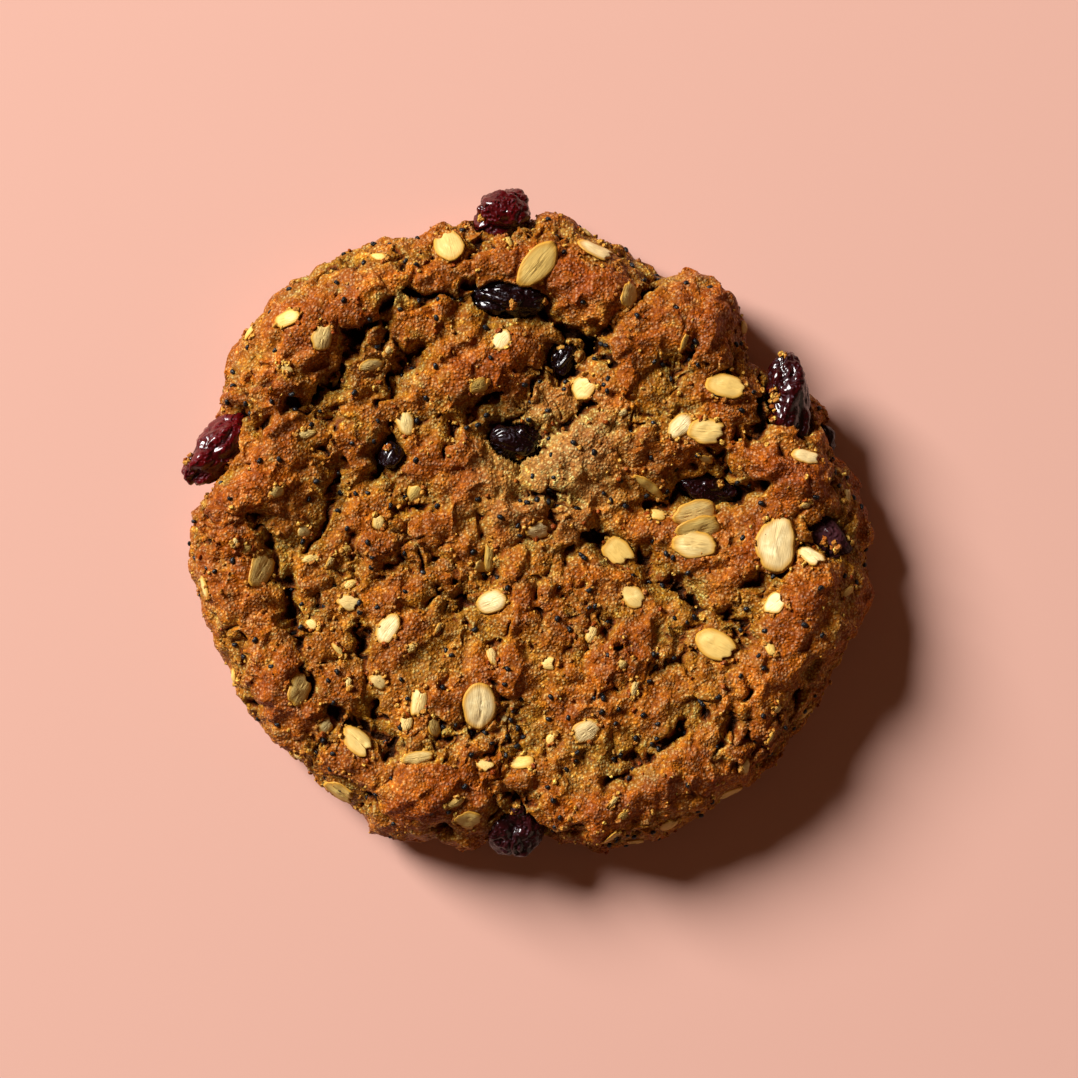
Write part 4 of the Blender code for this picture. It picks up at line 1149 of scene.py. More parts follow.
seed_points, seed_triangles = ball(3)
seed_points = kidney(seed_points)
parts = []
for x, y in fused_seeds:
    centre, up = resting_frame(x, y, SEED_RADIUS)
    tone = np.full(len(seed_points), draw.uniform())
    parts.append(set_down(seed_points, centre, up, draw.uniform(0, 360), SEED_STANDS * SEED_RADIUS,
                          SEED_RADIUS, {"seed_tone": tone}))
for corner in more_seeds:
    size = SEED_RADIUS * draw.uniform(SMALLEST_SEED, 1.0)
    tone = np.full(len(seed_points), draw.uniform())
    parts.append(set_down(seed_points, crust[corner], normals[corner], draw.uniform(0, 360),
                          draw.uniform(SEED_STANDS_FROM, SEED_STANDS) * size, size, {"seed_tone": tone}))
seed_mesh = joined("poppy_seeds", parts, seed_triangles)
seeds = add_object("poppy_seeds", seed_mesh)
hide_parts("dough")
print("poppy seeds:", len(parts), "in", len(seed_mesh.polygons), "faces")

# %% [markdown]
# ## Dried cranberries
# A dried cranberry is a leathery bag that has lost its juice: an egg folded in large wrinkles,
# with fine crinkles on them that break its gloss into small bright patches. We start from the
# solid's egg of rings, with many more rings, and press in three sizes of wrinkle. They follow
# the creases of our noise, stretched along the berry as real ones are.

# %% Make a cranberry
BERRY_RINGS = 84
BERRY_AROUND = 84
WRINKLE_RISE = 0.10
BERRY_FULLNESS = 0.8
BERRY_BEND = 0.16
WRINKLE_STRETCH = 0.6
SWAY_SIZE = 2.0 * MM
SWAY = 0.9 * MM
FULL_BERRY = 3.0 * MM
SMALL_BERRY = 0.5
# Folds, crinkles and shrivels: size, depth, sharpness, seed, and share of the wrinkle mask
WRINKLES = ((4.2 * MM, 0.75 * MM, 3.2, 311, 0.55),
            (1.6 * MM, 0.30 * MM, 2.6, 321, 0.45),
            (0.7 * MM, 0.07 * MM, 2.2, 331, 0.0))


def berry_skin(name):
    """Corners of a wrinkled cranberry, and how deep in a wrinkle each is."""
    centre, halves, axes = berry_frame(name)
    seed = sum(ord(letter) for letter in name)
    ring, side = np.meshgrid(np.arange(1, BERRY_RINGS + 1), np.arange(BERRY_AROUND), indexing="ij")
    along = np.pi * ring.ravel() / (BERRY_RINGS + 1)
    around = 2.0 * np.pi * side.ravel() / BERRY_AROUND
    fold = 1.0 + WRINKLE_RISE * np.sin(3 * around + seed + 2.0 * along)
    fold += 0.5 * WRINKLE_RISE * np.sin(5 * around - seed + 4.0 * along)
    across = np.sin(along) ** BERRY_FULLNESS * fold
    egg = np.column_stack([np.cos(along), across * np.cos(around), across * np.sin(around)])
    egg = np.concatenate([egg, ((1.0, 0.0, 0.0), (-1.0, 0.0, 0.0))])
    egg[:, 1] += BERRY_BEND * math.sin(seed) * (1.0 - egg[:, 0] ** 2)
    out = egg / np.linalg.norm(egg, axis=1)[:, None] / halves
    out /= np.linalg.norm(out, axis=1)[:, None]
    local = egg * halves
    places = local * (WRINKLE_STRETCH, 1.0, 1.0) + seed * MM
    places = wandered(places, SWAY_SIZE, SWAY, 301)
    depth = np.zeros(len(local))
    mask = np.zeros(len(local))
    for size, deep, sharpness, noise_seed, share in WRINKLES:
        crease = 1.0 - np.clip(sharpness * billows(places, size, noise_seed), 0.0, 1.0)
        depth += deep * crease
        mask += share * crease
    thin = np.clip(halves.min() / FULL_BERRY, SMALL_BERRY, 1.0)
    local -= out * (depth * thin)[:, None]
    return centre + local @ axes.T, np.clip(mask, 0.0, 1.0)


def berry_faces():
    """Quads between the rings of a cranberry and fans at its two ends."""
    made = []
    front = BERRY_RINGS * BERRY_AROUND
    last = (BERRY_RINGS - 1) * BERRY_AROUND
    for side in range(BERRY_AROUND):
        beside = (side + 1) % BERRY_AROUND
        made.append((front, side, beside))
        made.append((front + 1, last + beside, last + side))
        for ring in range(BERRY_RINGS - 1):
            low = ring * BERRY_AROUND
            high = low + BERRY_AROUND
            made.append((low + side, high + side, high + beside, low + beside))
    return made


# How red each berry is: partly the fruit's own colour, partly painted light shining through it
REDNESS = {"cranberry_left": 0.9, "cranberry_top": 0.6, "cranberry_right_upper": 0.3,
           "cranberry_bottom": 0.25, "cranberry_right_lower": 0.3, "cranberry_right_middle": 0.1}
DULL = {"cranberry_right_lower": 0.8, "cranberry_edge_tip": 0.3, "cranberry_bottom": 0.25}
LEAST_RED = 0.04
berries = {}
for name in CRANBERRIES:
    points, wrinkle = berry_skin(name)
    mesh = bpy.data.meshes.new(name + "_skin")
    mesh.from_pydata(points.tolist(), [], berry_faces())
    mesh.shade_smooth()
    store(mesh, "wrinkle", wrinkle)
    store(mesh, "redness", np.full(len(points), REDNESS.get(name, LEAST_RED)))
    store(mesh, "dull", np.full(len(points), DULL.get(name, 0.0)))
    berries[name] = add_object(name + "_skin", mesh)
    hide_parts(name)
print(len(berries), "cranberries of", len(mesh.polygons), "faces each")

# %% [markdown]
# ## Loose crumbs
# Breaking and baking leave loose crumbs on the crust, on the edges of the flakes and stuck to the
# fruit, where they cling in clusters. Each is a ball of eighty triangles pushed out of shape.
# There are five shapes, drawn at random, and all crumbs are one mesh.

# %% Make the crumbs
CRUMB_DRAW = 29
CRUMB_SHAPES = 5
CRUMB_APART = 3.7
CRUMB_RAGGED = 0.8
CRUMB_SWELL = 0.9
CRUMB_NICKED = 0.6
CRUMB_NICK = 0.45
CRUMB_SQUASH = (1.0, 0.85, 0.75)
CRUMB_STANDS = 0.3


def crumb_shapes():
    """A few ragged crumbs of radius about 1."""
    points, triangles = ball(2)
    shapes = []
    for number in range(CRUMB_SHAPES):
        swell = 1.0 + CRUMB_RAGGED * rolling(points + CRUMB_APART * number, CRUMB_SWELL, 401)
        swell += CRUMB_NICKED * CRUMB_RAGGED * rolling(points, CRUMB_NICK, 405 + number)
        shapes.append(points * swell[:, None] * CRUMB_SQUASH)
    return shapes, triangles


shapes, crumb_triangles = crumb_shapes()
draw = np.random.default_rng(CRUMB_DRAW)
parts = []


def add_crumb(place, up, radius):
    """One crumb laid on a surface, a third of it sunk in."""
    shape = shapes[int(draw.integers(CRUMB_SHAPES))]
    numbers = {"crumb_tone": np.full(len(shape), draw.uniform())}
    turn = draw.uniform(0, 360)
    parts.append(set_down(shape, place, up, turn, CRUMB_STANDS * radius, radius, numbers))


print(len(shapes), "shapes of crumb")

# %% Strew the crumbs
CRUMBS = 1100
CRUMB_SPACING = 0.7 * MM
CRUMB_RADIUS = (0.16 * MM, 0.42 * MM)
CRUMBS_ANYWHERE = 0.3
CRUMBS_ROUND_FLAKES = 2.5
STUCK = {"cranberry_left": 9, "cranberry_top": 9, "cranberry_right_lower": 34, "cranberry_bottom": 20,
         "cranberry_right_upper": 26, "cranberry_upper_middle": 7, "cranberry_centre": 4,
         "cranberry_small_left": 5, "cranberry_small_upper": 5, "cranberry_right_middle": 3}
CLUSTER = 6
CLUSTER_REACH = 50
STUCK_RADIUS = (0.22 * MM, 0.55 * MM)
FACING_UP = 0.1
EDGE_CRUMBS = 7
EDGE_RADIUS = (0.22 * MM, 0.50 * MM)


def crumbs_on_crust():
    """Crumbs all over the crust, more of them where it is rough and round the flakes."""
    smallest, largest = CRUMB_RADIUS
    weight = clear * (CRUMBS_ANYWHERE + roughness + CRUMBS_ROUND_FLAKES * nests * (1.0 - nests))
    for corner in drawn_corners(CRUMBS, weight, CRUMB_SPACING, draw):
        radius = smallest + (largest - smallest) * draw.uniform() ** 2
        add_crumb(crust[corner], normals[corner], radius)


def crumbs_at_flake(x, y, length, width, turn):
    """Crumbs along the edge of one flake."""
    turn = math.radians(turn)
    for _ in range(EDGE_CRUMBS):
        way = draw.uniform(0.0, 2.0 * math.pi)
        along, across = 0.5 * length * math.cos(way), 0.5 * width * math.sin(way)
        place_x = (x + along * math.cos(turn) - across * math.sin(turn)) * MM
        place_y = (y + along * math.sin(turn) + across * math.cos(turn)) * MM
        height = height_at(place_x, place_y)
        if height is not None:
            add_crumb(np.array((place_x, place_y, height)), (0.0, 0.0, 1.0), draw.uniform(*EDGE_RADIUS))


def crumbs_on_berry(berry, count):
    """Clusters of crumbs stuck to the upper side of a cranberry."""
    upper = [vertex for vertex in berry.data.vertices if vertex.normal.z > FACING_UP]
    for _ in range(0, count, CLUSTER):
        middle = upper[int(draw.integers(len(upper)))].co
        near = sorted(upper, key=lambda vertex: (vertex.co - middle).length)[:CLUSTER_REACH]
        for index in draw.choice(len(near), size=CLUSTER, replace=False):
            vertex = near[int(index)]
            add_crumb(np.array(vertex.co), np.array(vertex.normal), draw.uniform(*STUCK_RADIUS))


crumbs_on_crust()
for *row, _ in ALL_FLAKES:
    crumbs_at_flake(*row)
for name, count in STUCK.items():
    crumbs_on_berry(berries[name], count)
crumb_mesh = joined("loose_crumbs", parts, crumb_triangles)
crumb_piece = add_object("loose_crumbs", crumb_mesh)
print("crumbs:", len(parts), "in", len(crumb_mesh.polygons), "faces")

# %% [markdown]
# ## Two effects that several materials share
# Sandy grain comes back in the crust, the crumbs and the seeds, and soft mottling in all but the
# crumbs, so each is a node group, built once. A group only works out masks and heights; the
# shader itself stays in each material. Sizes go in as metres, because the cookie is modelled at
# its real size.

# %% Node helpers
# Places of a Mix node's colours among its sockets
COLOUR_A = 6
COLOUR_B = 7
COLOUR_OUT = 2


def add_node(tree, kind, inputs=None, **settings):
    """A node with its settings, and each named input linked to a socket or set to a value."""
    node = tree.nodes.new(kind)
    for name, value in settings.items():
        setattr(node, name, value)
    for name, value in (inputs or {}).items():
        if isinstance(value, bpy.types.NodeSocket):
            tree.links.new(value, node.inputs[name])
        else:
            node.inputs[name].default_value = value
    return node


def maths(tree, operation, first, second=0.0):
    """The result of one Math node."""
    return add_node(tree, "ShaderNodeMath", {0: first, 1: second}, operation=operation).outputs[0]


def times(tree, first, second):
    """Two values multiplied."""
    return maths(tree, "MULTIPLY", first, second)


def vectors(tree, operation, inputs):
    """The result of one Vector Math node."""
    return add_node(tree, "ShaderNodeVectorMath", inputs, operation=operation).outputs[0]


def mixed(tree, share, first, second):
    """Two colours mixed by a share."""
    inputs = {0: share, COLOUR_A: first, COLOUR_B: second}
    return add_node(tree, "ShaderNodeMix", inputs, data_type="RGBA").outputs[COLOUR_OUT]


def ranged(tree, value, low, high, to_low=0.0, to_high=1.0):
    """A value brought from one range to another, smoothly, and kept inside it."""
    inputs = {"Value": value, "From Min": low, "From Max": high, "To Min": to_low, "To Max": to_high}
    return add_node(tree, "ShaderNodeMapRange", inputs, interpolation_type="SMOOTHSTEP").outputs["Result"]


def stored(tree, name):
    """A number kept with the mesh."""
    return add_node(tree, "ShaderNodeAttribute", attribute_name=name).outputs["Fac"]


def tinted(tree, colour, factors, more=(0.0, 0.0, 0.0)):
    """A colour with its red, green and blue each multiplied, and a little more added to each."""
    return vectors(tree, "MULTIPLY_ADD", {0: colour, 1: factors, 2: more})


def place_of(tree):
    """Where each point is on the object, in metres."""
    return add_node(tree, "ShaderNodeTexCoord").outputs["Object"]


def new_group(name, inputs, outputs):
    """An empty node group with named inputs and outputs."""
    group = bpy.data.node_groups.new(name, "ShaderNodeTree")
    for title, kind in inputs:
        group.interface.new_socket(title, in_out="INPUT", socket_type="NodeSocket" + kind)
    for title in outputs:
        group.interface.new_socket(title, in_out="OUTPUT", socket_type="NodeSocketFloat")
    return group, group.nodes.new("NodeGroupInput").outputs, group.nodes.new("NodeGroupOutput").inputs


def use_group(tree, group, **inputs):
    """The outputs of a group placed in a tree."""
    return add_node(tree, "ShaderNodeGroup", inputs, node_tree=group).outputs


print("node helpers ready")

# %% Sandy grain and mottling
# Where each mask starts to rise and where it is full, as distance from a cell's middle, as the
# cell's own number, or as the value of the noise
ROUND_GRAIN = (0.75, 0.05)
BETWEEN_GRAINS = (0.38, 0.68)
PALE_ONES = (0.42, 0.8)
DARK_ONES = (0.45, 0.1)
PALE_SPOTS = (0.58, 0.72)
LOW_SPOTS = (0.47, 0.35)
MIDDLE_GREY = (0.5, 0.5, 0.5)
GRAIN_PULL = 0.9
GRAIN_UNEVEN = 0.7
GAP_DEPTH = 0.8
FEWEST_PATCHES = 0.86
PATCHES_BY_AMOUNT = 0.5
PATCH_FADE = 0.24


def build_sandy_grain():
    """Packed grains of about one size: their height, the pale ones, the dark ones and the gaps."""
    tree, given, made = new_group("sandy grain", (("Place", "Vector"), ("Size", "Float")),
                                  ("Height", "Pale", "Dark", "Gap"))
    place, size = given["Place"], given["Size"]
    per_metre = maths(tree, "DIVIDE", 1.0, size)
    noise = add_node(tree, "ShaderNodeTexNoise",
                     {"Vector": place, "Scale": per_metre, "Detail": 3.0, "Roughness": 0.7}).outputs
    pull = vectors(tree, "SUBTRACT", {0: noise["Color"], 1: MIDDLE_GREY})
    pull = vectors(tree, "SCALE", {0: pull, "Scale": times(tree, size, GRAIN_PULL)})
    uneven = vectors(tree, "ADD", {0: place, 1: pull})
    cells = add_node(tree, "ShaderNodeTexVoronoi", {"Vector": uneven, "Scale": per_metre}).outputs
    round_grain = ranged(tree, cells["Distance"], *ROUND_GRAIN)
    height = maths(tree, "ADD", round_grain, times(tree, noise["Fac"], GRAIN_UNEVEN))
    own = add_node(tree, "ShaderNodeSeparateColor", {0: cells["Color"]}).outputs
    pale_ones = times(tree, ranged(tree, own[0], *PALE_ONES), round_grain)
    pale = maths(tree, "MAXIMUM", pale_ones, ranged(tree, noise["Fac"], *PALE_SPOTS))
    between = times(tree, ranged(tree, cells["Distance"], *BETWEEN_GRAINS), GAP_DEPTH)
    gap = maths(tree, "MAXIMUM", ranged(tree, noise["Fac"], *LOW_SPOTS), between)
    tree.links.new(height, made["Height"])
    tree.links.new(pale, made["Pale"])
    tree.links.new(ranged(tree, own[1], *DARK_ONES), made["Dark"])
    tree.links.new(gap, made["Gap"])
    return tree


def build_mottling():
    """Soft patches of about one size, from 0 to 1, with more or fewer of them."""
    tree, given, made = new_group("mottling", (("Place", "Vector"), ("Size", "Float"), ("Amount", "Float")),
                                  ("Patches",))
    per_metre = maths(tree, "DIVIDE", 1.0, given["Size"])
    noise = add_node(tree, "ShaderNodeTexNoise",
                     {"Vector": given["Place"], "Scale": per_metre, "Detail": 4.0, "Roughness": 0.6,
                      "Distortion": 0.4}).outputs["Fac"]
    high = maths(tree, "SUBTRACT", FEWEST_PATCHES, times(tree, given["Amount"], PATCHES_BY_AMOUNT))
    low = maths(tree, "SUBTRACT", high, PATCH_FADE)
    tree.links.new(ranged(tree, noise, low, high), made["Patches"])
    return tree


SANDY_GRAIN = build_sandy_grain()
MOTTLING = build_mottling()
print("groups:", SANDY_GRAIN.name, "and", MOTTLING.name)

# %% [markdown]
# ## The crust's colours
# Baked dough is golden orange on what stands up, browner in patches where it caught the heat,
# and tan with a touch of olive in the valleys. Right of the middle it stayed paler. We lay these
# colours over each other, each by a mask: some masks come from the mesh, the patches from the
# mottling group, and the sandy speckle from the grain group. Painted shade goes on last, red-brown
# in the hollows and nearly black in the deepest cracks; the speckle holds painted shade in the
# gaps between grains, and its pale grains are partly painted glints.

# %% Colours and grain of the dough
GOLD = (0.85, 0.415, 0.026, 1.0)
BURNT_ORANGE = (0.86, 0.20, 0.004, 1.0)
BROWNED = (0.38, 0.065, 0.003, 1.0)
# Red-brown: the dough's own flecks, and painted shade in the hollows
RED_BROWN = (0.14, 0.018, 0.001, 1.0)
VALLEY_TAN = (0.50, 0.305, 0.024, 1.0)
PALE_DOUGH = (0.82, 0.61, 0.20, 1.0)
# Painted shade in the deepest cracks
PAINTED_CRACK_SHADE = (0.013, 0.003, 0.001, 1.0)
CRUMB_GOLD = (0.84, 0.46, 0.08, 1.0)
# Pale grains: partly the dough's own sugary grain, partly painted glints
PALE_GRAIN_AND_GLINT = (1.30, 2.02, 1.70)
PALE_GRAIN_AND_GLINT_LIFT = (0.0, 0.07, 0.11)
DARK_GRAIN = (0.48, 0.29, 0.14)
# Painted shade in the gaps between grains
GAP_SHADE = (0.20, 0.075, 0.02)
WARM_GLEAM = (1.0, 0.76, 0.48, 1.0)
SAND_SIZE = 0.46 * MM
SAND_RISE = 0.17 * MM
BAKED_ROUGHNESS = 0.5
BAKED_IOR = 1.2
# Share of the dark grains, and of the painted shade in the gaps
DARK_GRAIN_AND_GAP_SHARE = 0.6


def new_material(name, roughness, **constants):
    """A material with its Principled shader, constants set on the shader's own sockets."""
    material = bpy.data.materials.new(name)
    material.use_nodes = True
    tree = material.node_tree
    shader = tree.nodes["Principled BSDF"]
    shader.inputs["Roughness"].default_value = roughness
    for title, value in constants.items():
        shader.inputs[title.replace("_", " ")].default_value = value
    return material, tree, shader


def sandy(tree, place, colour, grain_and_glint_share):
    """A colour speckled with pale grains, which are partly painted glints, and dark grains, with
    painted shade in the gaps between them; and the height of the grains.
    """
    grain = use_group(tree, SANDY_GRAIN, Place=place, Size=SAND_SIZE)
    pale = tinted(tree, colour, PALE_GRAIN_AND_GLINT, PALE_GRAIN_AND_GLINT_LIFT)
    dark, gap = tinted(tree, colour, DARK_GRAIN), tinted(tree, colour, GAP_SHADE)
    colour = mixed(tree, times(tree, grain["Dark"], DARK_GRAIN_AND_GAP_SHARE), colour, dark)
    # Painted shade in the gaps between grains
    colour = mixed(tree, times(tree, grain["Gap"], DARK_GRAIN_AND_GAP_SHARE), colour, gap)
    # Pale grains: partly the dough's own sugary grain, partly painted glints
    colour = mixed(tree, times(tree, grain["Pale"], grain_and_glint_share), colour, pale)
    return colour, grain["Height"]


def bump_into(tree, shader, height, rise):
    """Let a height move the shader's normals."""
    bump = add_node(tree, "ShaderNodeBump", {"Strength": 1.0, "Distance": rise, "Height": height})
    tree.links.new(bump.outputs["Normal"], shader.inputs["Normal"])


print("sand", round(SAND_SIZE / MM, 2), "mm wide")

# %% Crust material
# Patches of the crust: size, and how much of it they cover
PATCHES = {"broad": (10.0 * MM, 0.66), "dry": (6.5 * MM, 0.5), "middling": (4.4 * MM, 0.72),
           "small": (1.3 * MM, 0.62)}
VALLEY_TINT = 0.5
FLECK_TINT = 0.5
TRAY_TINT = 0.7
CRUST_GRAIN_AND_GLINT_SHARE = 0.9


def patches_of(tree, place):
    """The mottling of the crust, as one mask for each kind of patch."""
    return {title: use_group(tree, MOTTLING, Place=place, Size=size, Amount=amount)["Patches"]
            for title, (size, amount) in PATCHES.items()}


def crust_material():
    """Golden sandy crust with painted shade that darkens it into its hollows and cracks."""
    material, tree, shader = new_material("baked_crust", BAKED_ROUGHNESS, IOR=BAKED_IOR,
                                          Specular_Tint=WARM_GLEAM)
    place = place_of(tree)
    raised, hollow = stored(tree, "raised"), stored(tree, "hollow")
    patches = patches_of(tree, place)
    middling = patches["middling"]
    warm = times(tree, middling, ranged(tree, raised, 0.35, 0.65, 0.3, 0.95))
    dry = times(tree, patches["dry"], ranged(tree, middling, 0.0, 0.8, 0.5, 0.1))
    browning = times(tree, patches["broad"], ranged(tree, raised, 0.4, 0.75, 0.25, 0.8))
    blotchy = times(tree, stored(tree, "pale"), ranged(tree, middling, 0.0, 1.0, 0.75, 0.25))
    colour = mixed(tree, ranged(tree, raised, 0.3, 0.7), VALLEY_TAN, GOLD)
    for share, over in ((warm, BURNT_ORANGE), (dry, PALE_DOUGH), (browning, BROWNED),
                        (times(tree, stored(tree, "valley"), VALLEY_TINT), VALLEY_TAN),
                        (times(tree, patches["small"], FLECK_TINT), RED_BROWN),
                        (blotchy, PALE_DOUGH),
                        (times(tree, stored(tree, "underside"), TRAY_TINT), BROWNED)):
        colour = mixed(tree, share, colour, over)
    colour, height = sandy(tree, place, colour, CRUST_GRAIN_AND_GLINT_SHARE)
    # Painted shade: red-brown in the hollows, then nearly black in the deepest cracks
    colour = mixed(tree, ranged(tree, hollow, 0.05, 0.45, 0.0, 0.8), colour, RED_BROWN)
    colour = mixed(tree, ranged(tree, hollow, 0.3, 0.8, 0.0, 0.96), colour, PAINTED_CRACK_SHADE)
    tree.links.new(colour, shader.inputs["Base Color"])
    tree.links.new(ranged(tree, patches["small"], 0.0, 0.6, 0.62, 0.38), shader.inputs["Roughness"])
    bump_into(tree, shader, height, SAND_RISE)
    return material


crust_mesh.materials.append(crust_material())
print("crust coloured")

# %% Crumb material
CRUMB_GRAIN_AND_GLINT_SHARE = 0.6


def crumb_material():
    """The same dough, drier and paler from crumb to crumb."""
    material, tree, shader = new_material("dry_crumb", BAKED_ROUGHNESS, IOR=BAKED_IOR,
                                          Specular_Tint=WARM_GLEAM)
    colour = mixed(tree, stored(tree, "crumb_tone"), BROWNED, CRUMB_GOLD)
    colour, height = sandy(tree, place_of(tree), colour, CRUMB_GRAIN_AND_GLINT_SHARE)
    tree.links.new(colour, shader.inputs["Base Color"])
    bump_into(tree, shader, height, SAND_RISE)
    return material


crumb_mesh.materials.append(crumb_material())
print("crumbs coloured")

# %% [markdown]
# ## Oats, seeds and fruit
# Oat flakes are cream in the middle and toasted golden at their thin edges, with fine lines that
# run along the grain. Poppy seeds are nearly black with a grey bloom. The fruit is nearly black,
# redder on some berries, partly by its own colour and partly by painted light shining through it,
# and darkened with painted shade in the creases of its wrinkles. It lies under a sticky gloss: a
# clear coat over a dark base, because it is the coat that gives the small sharp highlights.

# %% Oat material
OAT_CREAM = (0.74, 0.54, 0.15, 1.0)
OAT_WHITE = (1.0, 0.86, 0.48, 1.0)
OAT_TOASTED = (0.55, 0.27, 0.030, 1.0)
OAT_LINE = (0.36, 0.19, 0.04, 1.0)
OAT_LINES_ACROSS = 34.0
OAT_LINES_ALONG = 3.0
OAT_LINES_APART = 40.0
OAT_LINES_RISE = 0.06 * MM
OAT_PATCH = 2.4 * MM
OAT_PATCH_TINT = 0.45


def oat_material():
    """Cream flakes with toasted rims and fine lines."""
    material, tree, shader = new_material("rolled_oat", 0.45, IOR=1.28)
    place = place_of(tree)
    tone = stored(tree, "flake_tone")
    lined = add_node(tree, "ShaderNodeCombineXYZ", {
        0: times(tree, stored(tree, "along"), OAT_LINES_ALONG),
        1: times(tree, stored(tree, "across"), OAT_LINES_ACROSS),
        2: times(tree, tone, OAT_LINES_APART)}).outputs[0]
    lines = add_node(tree, "ShaderNodeTexNoise", {"Vector": lined, "Scale": 1.0, "Detail": 3.0})
    lines = lines.outputs["Fac"]
    patches = use_group(tree, MOTTLING, Place=place, Size=OAT_PATCH, Amount=0.7)["Patches"]
    near_edge = ranged(tree, stored(tree, "rim"), 0.45, 1.0)
    toasted = maths(tree, "MAXIMUM", near_edge, times(tree, patches, OAT_PATCH_TINT))
    colour = mixed(tree, tone, OAT_CREAM, OAT_WHITE)
    colour = mixed(tree, toasted, colour, OAT_TOASTED)
    colour = mixed(tree, ranged(tree, lines, 0.58, 0.72, 0.0, 0.3), colour, OAT_LINE)
    tree.links.new(colour, shader.inputs["Base Color"])
    bump_into(tree, shader, lines, OAT_LINES_RISE)
    return material


oat_mesh.materials.append(oat_material())
print("oats coloured")

# %% Poppy seed material
SEED_BLACK = (0.003, 0.003, 0.004, 1.0)
SEED_GREY = (0.013, 0.013, 0.015, 1.0)
BLOOM_SIZE = 0.5 * MM
NET_GRAIN = 0.14 * MM
NET_GRAIN_RISE = 0.03 * MM


def seed_material():
    """Nearly black seeds with a grey bloom on some."""
    material, tree, shader = new_material("poppy_seed", 0.30, Specular_IOR_Level=0.28)
    place = place_of(tree)
    bloom = use_group(tree, MOTTLING, Place=place, Size=BLOOM_SIZE, Amount=0.8)["Patches"]
    share = times(tree, bloom, stored(tree, "seed_tone"))
    colour = mixed(tree, share, SEED_BLACK, SEED_GREY)
    tree.links.new(colour, shader.inputs["Base Color"])
    grain = use_group(tree, SANDY_GRAIN, Place=place, Size=NET_GRAIN)
    bump_into(tree, shader, grain["Height"], NET_GRAIN_RISE)
    return material


seed_mesh.materials.append(seed_material())
print("seeds coloured")

# %% Cranberry material
FRUIT_BLACK = (0.002, 0.0002, 0.0004, 1.0)
FRUIT_RED = (0.105, 0.0002, 0.0014, 1.0)
FRUIT_DULL = (0.035, 0.011, 0.013, 1.0)
LILAC_GLEAM = (0.84, 0.78, 1.0, 1.0)
FRUIT_PATCH = 3.0 * MM
CRINKLE_WIDTH = 0.7 * MM
CRINKLE_RISE = 0.7 * MM
DUST = 0.8


def cranberry_material():
    """Dark wrinkled skin under a sticky coat. Its red is partly its own and partly painted light
    shining through it; the creases of its wrinkles are darkened with painted shade.
    """
    material, tree, shader = new_material("dried_cranberry", 0.4, Specular_IOR_Level=0.1,
                                          Specular_Tint=LILAC_GLEAM, Coat_IOR=1.44, Coat_Roughness=0.17)
    place = place_of(tree)
    dull = stored(tree, "dull")
    patches = use_group(tree, MOTTLING, Place=place, Size=FRUIT_PATCH, Amount=0.9)["Patches"]
    # Red of each berry: partly its own colour, partly painted light shining through it
    red = times(tree, stored(tree, "redness"), ranged(tree, patches, 0.0, 1.0, 0.35, 1.0))
    # Painted shade: the creases of the wrinkles darken toward black
    red = times(tree, red, ranged(tree, stored(tree, "wrinkle"), 0.0, 1.0, 1.0, 0.35))
    colour = mixed(tree, red, FRUIT_BLACK, FRUIT_RED)
    colour = mixed(tree, times(tree, dull, DUST), colour, FRUIT_DULL)
    tree.links.new(colour, shader.inputs["Base Color"])
    tree.links.new(ranged(tree, dull, 0.0, 1.0, 0.4, 0.7), shader.inputs["Roughness"])
    tree.links.new(ranged(tree, dull, 0.0, 1.0, 1.0, 0.1), shader.inputs["Coat Weight"])
    crinkles = add_node(tree, "ShaderNodeTexNoise",
                        {"Vector": place, "Scale": 1.0 / CRINKLE_WIDTH, "Detail": 4.0, "Roughness": 0.6},
                        noise_type="RIDGED_MULTIFRACTAL").outputs["Fac"]
    bump_into(tree, shader, crinkles, CRINKLE_RISE)
    return material


fruit = cranberry_material()
for piece in berries.values():
    piece.data.materials.append(fruit)
print("fruit coloured")

# %% [markdown]
# ## Floor, light and camera
# The cookie lies on a plain pale peach floor. A soft lamp from the upper left, thirty-two degrees
# up, rakes over the crust, so that every crumb has a light and a dark side. A weak, low lamp on
# the other side and a faint warm world keep the shadows and the far side from going black. The
# camera looks straight down from far enough away that the picture is as wide as the real view,
# a little under 162 mm at the height of the crust.

# %% Floor
FLOOR_SIZE = 6.0
FLOOR_COLOUR = (0.685, 0.395, 0.322, 1.0)


def add_floor():
    """A large plain floor under the cookie."""
    half = FLOOR_SIZE / 2.0
    mesh = bpy.data.meshes.new("floor")
    mesh.from_pydata([(-half, -half, 0.0), (half, -half, 0.0), (half, half, 0.0), (-half, half, 0.0)],
                     [], [(0, 1, 2, 3)])
    floor = bpy.data.objects.new("floor", mesh)
    bpy.context.scene.collection.objects.link(floor)
    material, _, shader = new_material("peach_floor", 0.9, Specular_IOR_Level=0.1)
    shader.inputs["Base Color"].default_value = FLOOR_COLOUR
    mesh.materials.append(material)


add_floor()
print("floor laid")

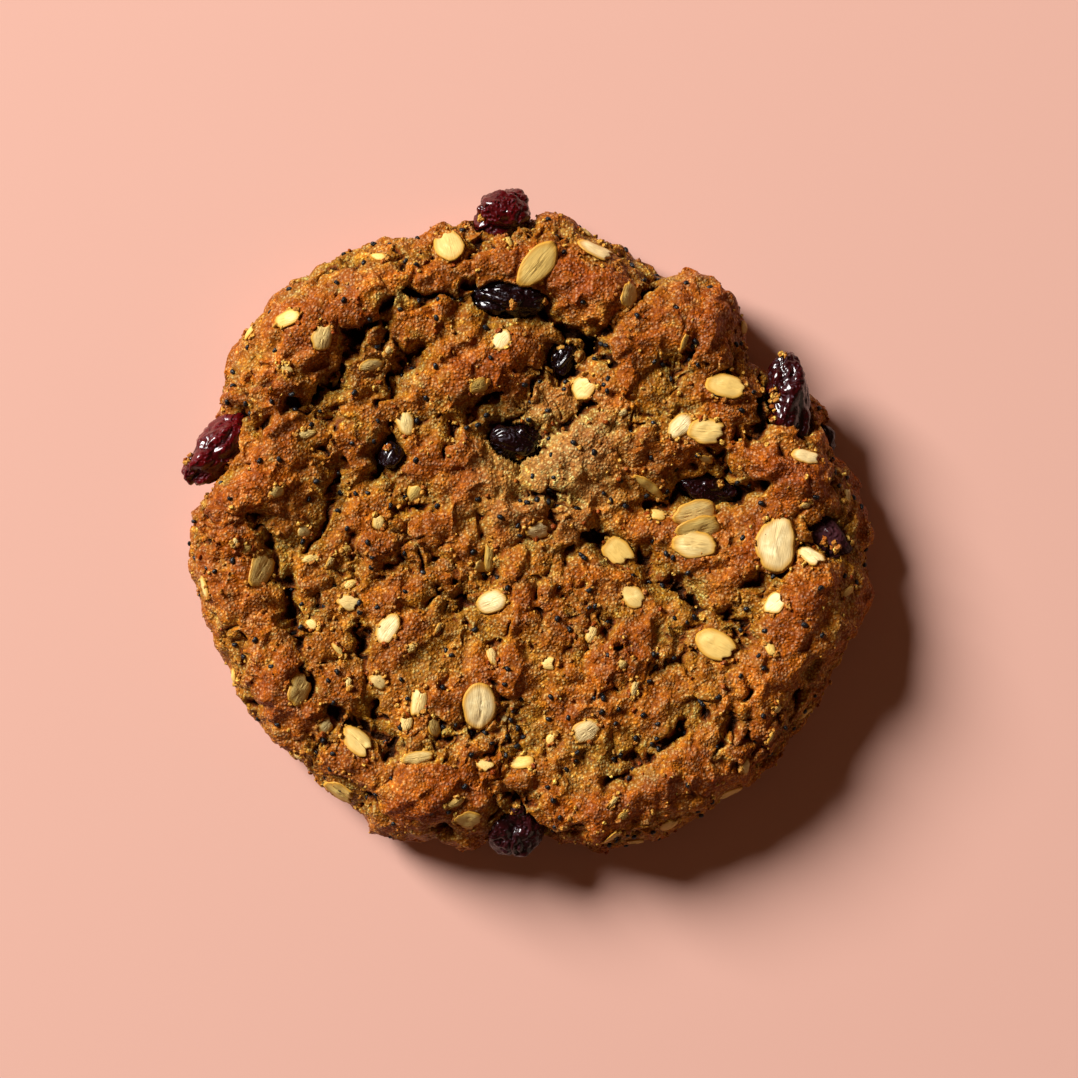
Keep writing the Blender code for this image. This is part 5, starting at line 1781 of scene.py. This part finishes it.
# %% Light and world
KEY_TURN = 142.0
KEY_HEIGHT = 32.0
LAMP_DISTANCE = 2.6
KEY_SIZE = 1.15
KEY_POWER = 156.0
KEY_COLOUR = (1.0, 0.98, 0.95)
SIDE_TURN = -35.0
SIDE_HEIGHT = 14.0
SIDE_SIZE = 2.2
SIDE_POWER = 5.0
SIDE_COLOUR = (1.0, 0.80, 0.58)
GLOW_COLOUR = (1.0, 0.44, 0.20, 1.0)
GLOW_STRENGTH = 0.07


def add_lamp(name, turn, height, size, power, colour):
    """A round soft lamp aimed at the cookie."""
    turn, height = math.radians(turn), math.radians(height)
    level = math.cos(height)
    back = Vector((math.cos(turn) * level, math.sin(turn) * level, math.sin(height)))
    lamp = bpy.data.lights.new(name, "AREA")
    lamp.shape = "DISK"
    lamp.size = size
    lamp.energy = power
    lamp.color = colour
    stand = bpy.data.objects.new(name, lamp)
    stand.location = back * LAMP_DISTANCE
    stand.rotation_euler = back.to_track_quat("Z", "Y").to_euler()
    bpy.context.scene.collection.objects.link(stand)


def set_world():
    """A faint even glow from all round."""
    world = bpy.data.worlds.new("studio")
    bpy.context.scene.world = world
    world.use_nodes = True
    background = world.node_tree.nodes["Background"]
    background.inputs["Color"].default_value = GLOW_COLOUR
    background.inputs["Strength"].default_value = GLOW_STRENGTH


add_lamp("key", KEY_TURN, KEY_HEIGHT, KEY_SIZE, KEY_POWER, KEY_COLOUR)
add_lamp("side", SIDE_TURN, SIDE_HEIGHT, SIDE_SIZE, SIDE_POWER, SIDE_COLOUR)
set_world()
bpy.context.scene.view_settings.view_transform = "Standard"
print("lit from", KEY_TURN, "degrees at", KEY_HEIGHT, "degrees up")

# %% Camera
VIEW_CENTRE = (1.8 * MM, -2.1 * MM)
CAMERA_HEIGHT = 455.0 * MM
LENS = 100.0
SENSOR = 36.0


def add_camera():
    """A camera looking straight down, with +Y at the top of the picture."""
    camera_data = bpy.data.cameras.new("camera")
    camera_data.lens = LENS
    camera_data.sensor_width = SENSOR
    camera_data.clip_start = 0.01
    camera = bpy.data.objects.new("camera", camera_data)
    camera.location = (*VIEW_CENTRE, CAMERA_HEIGHT)
    bpy.context.scene.collection.objects.link(camera)
    bpy.context.scene.camera = camera


add_camera()
print("camera", CAMERA_HEIGHT, "m above the floor")
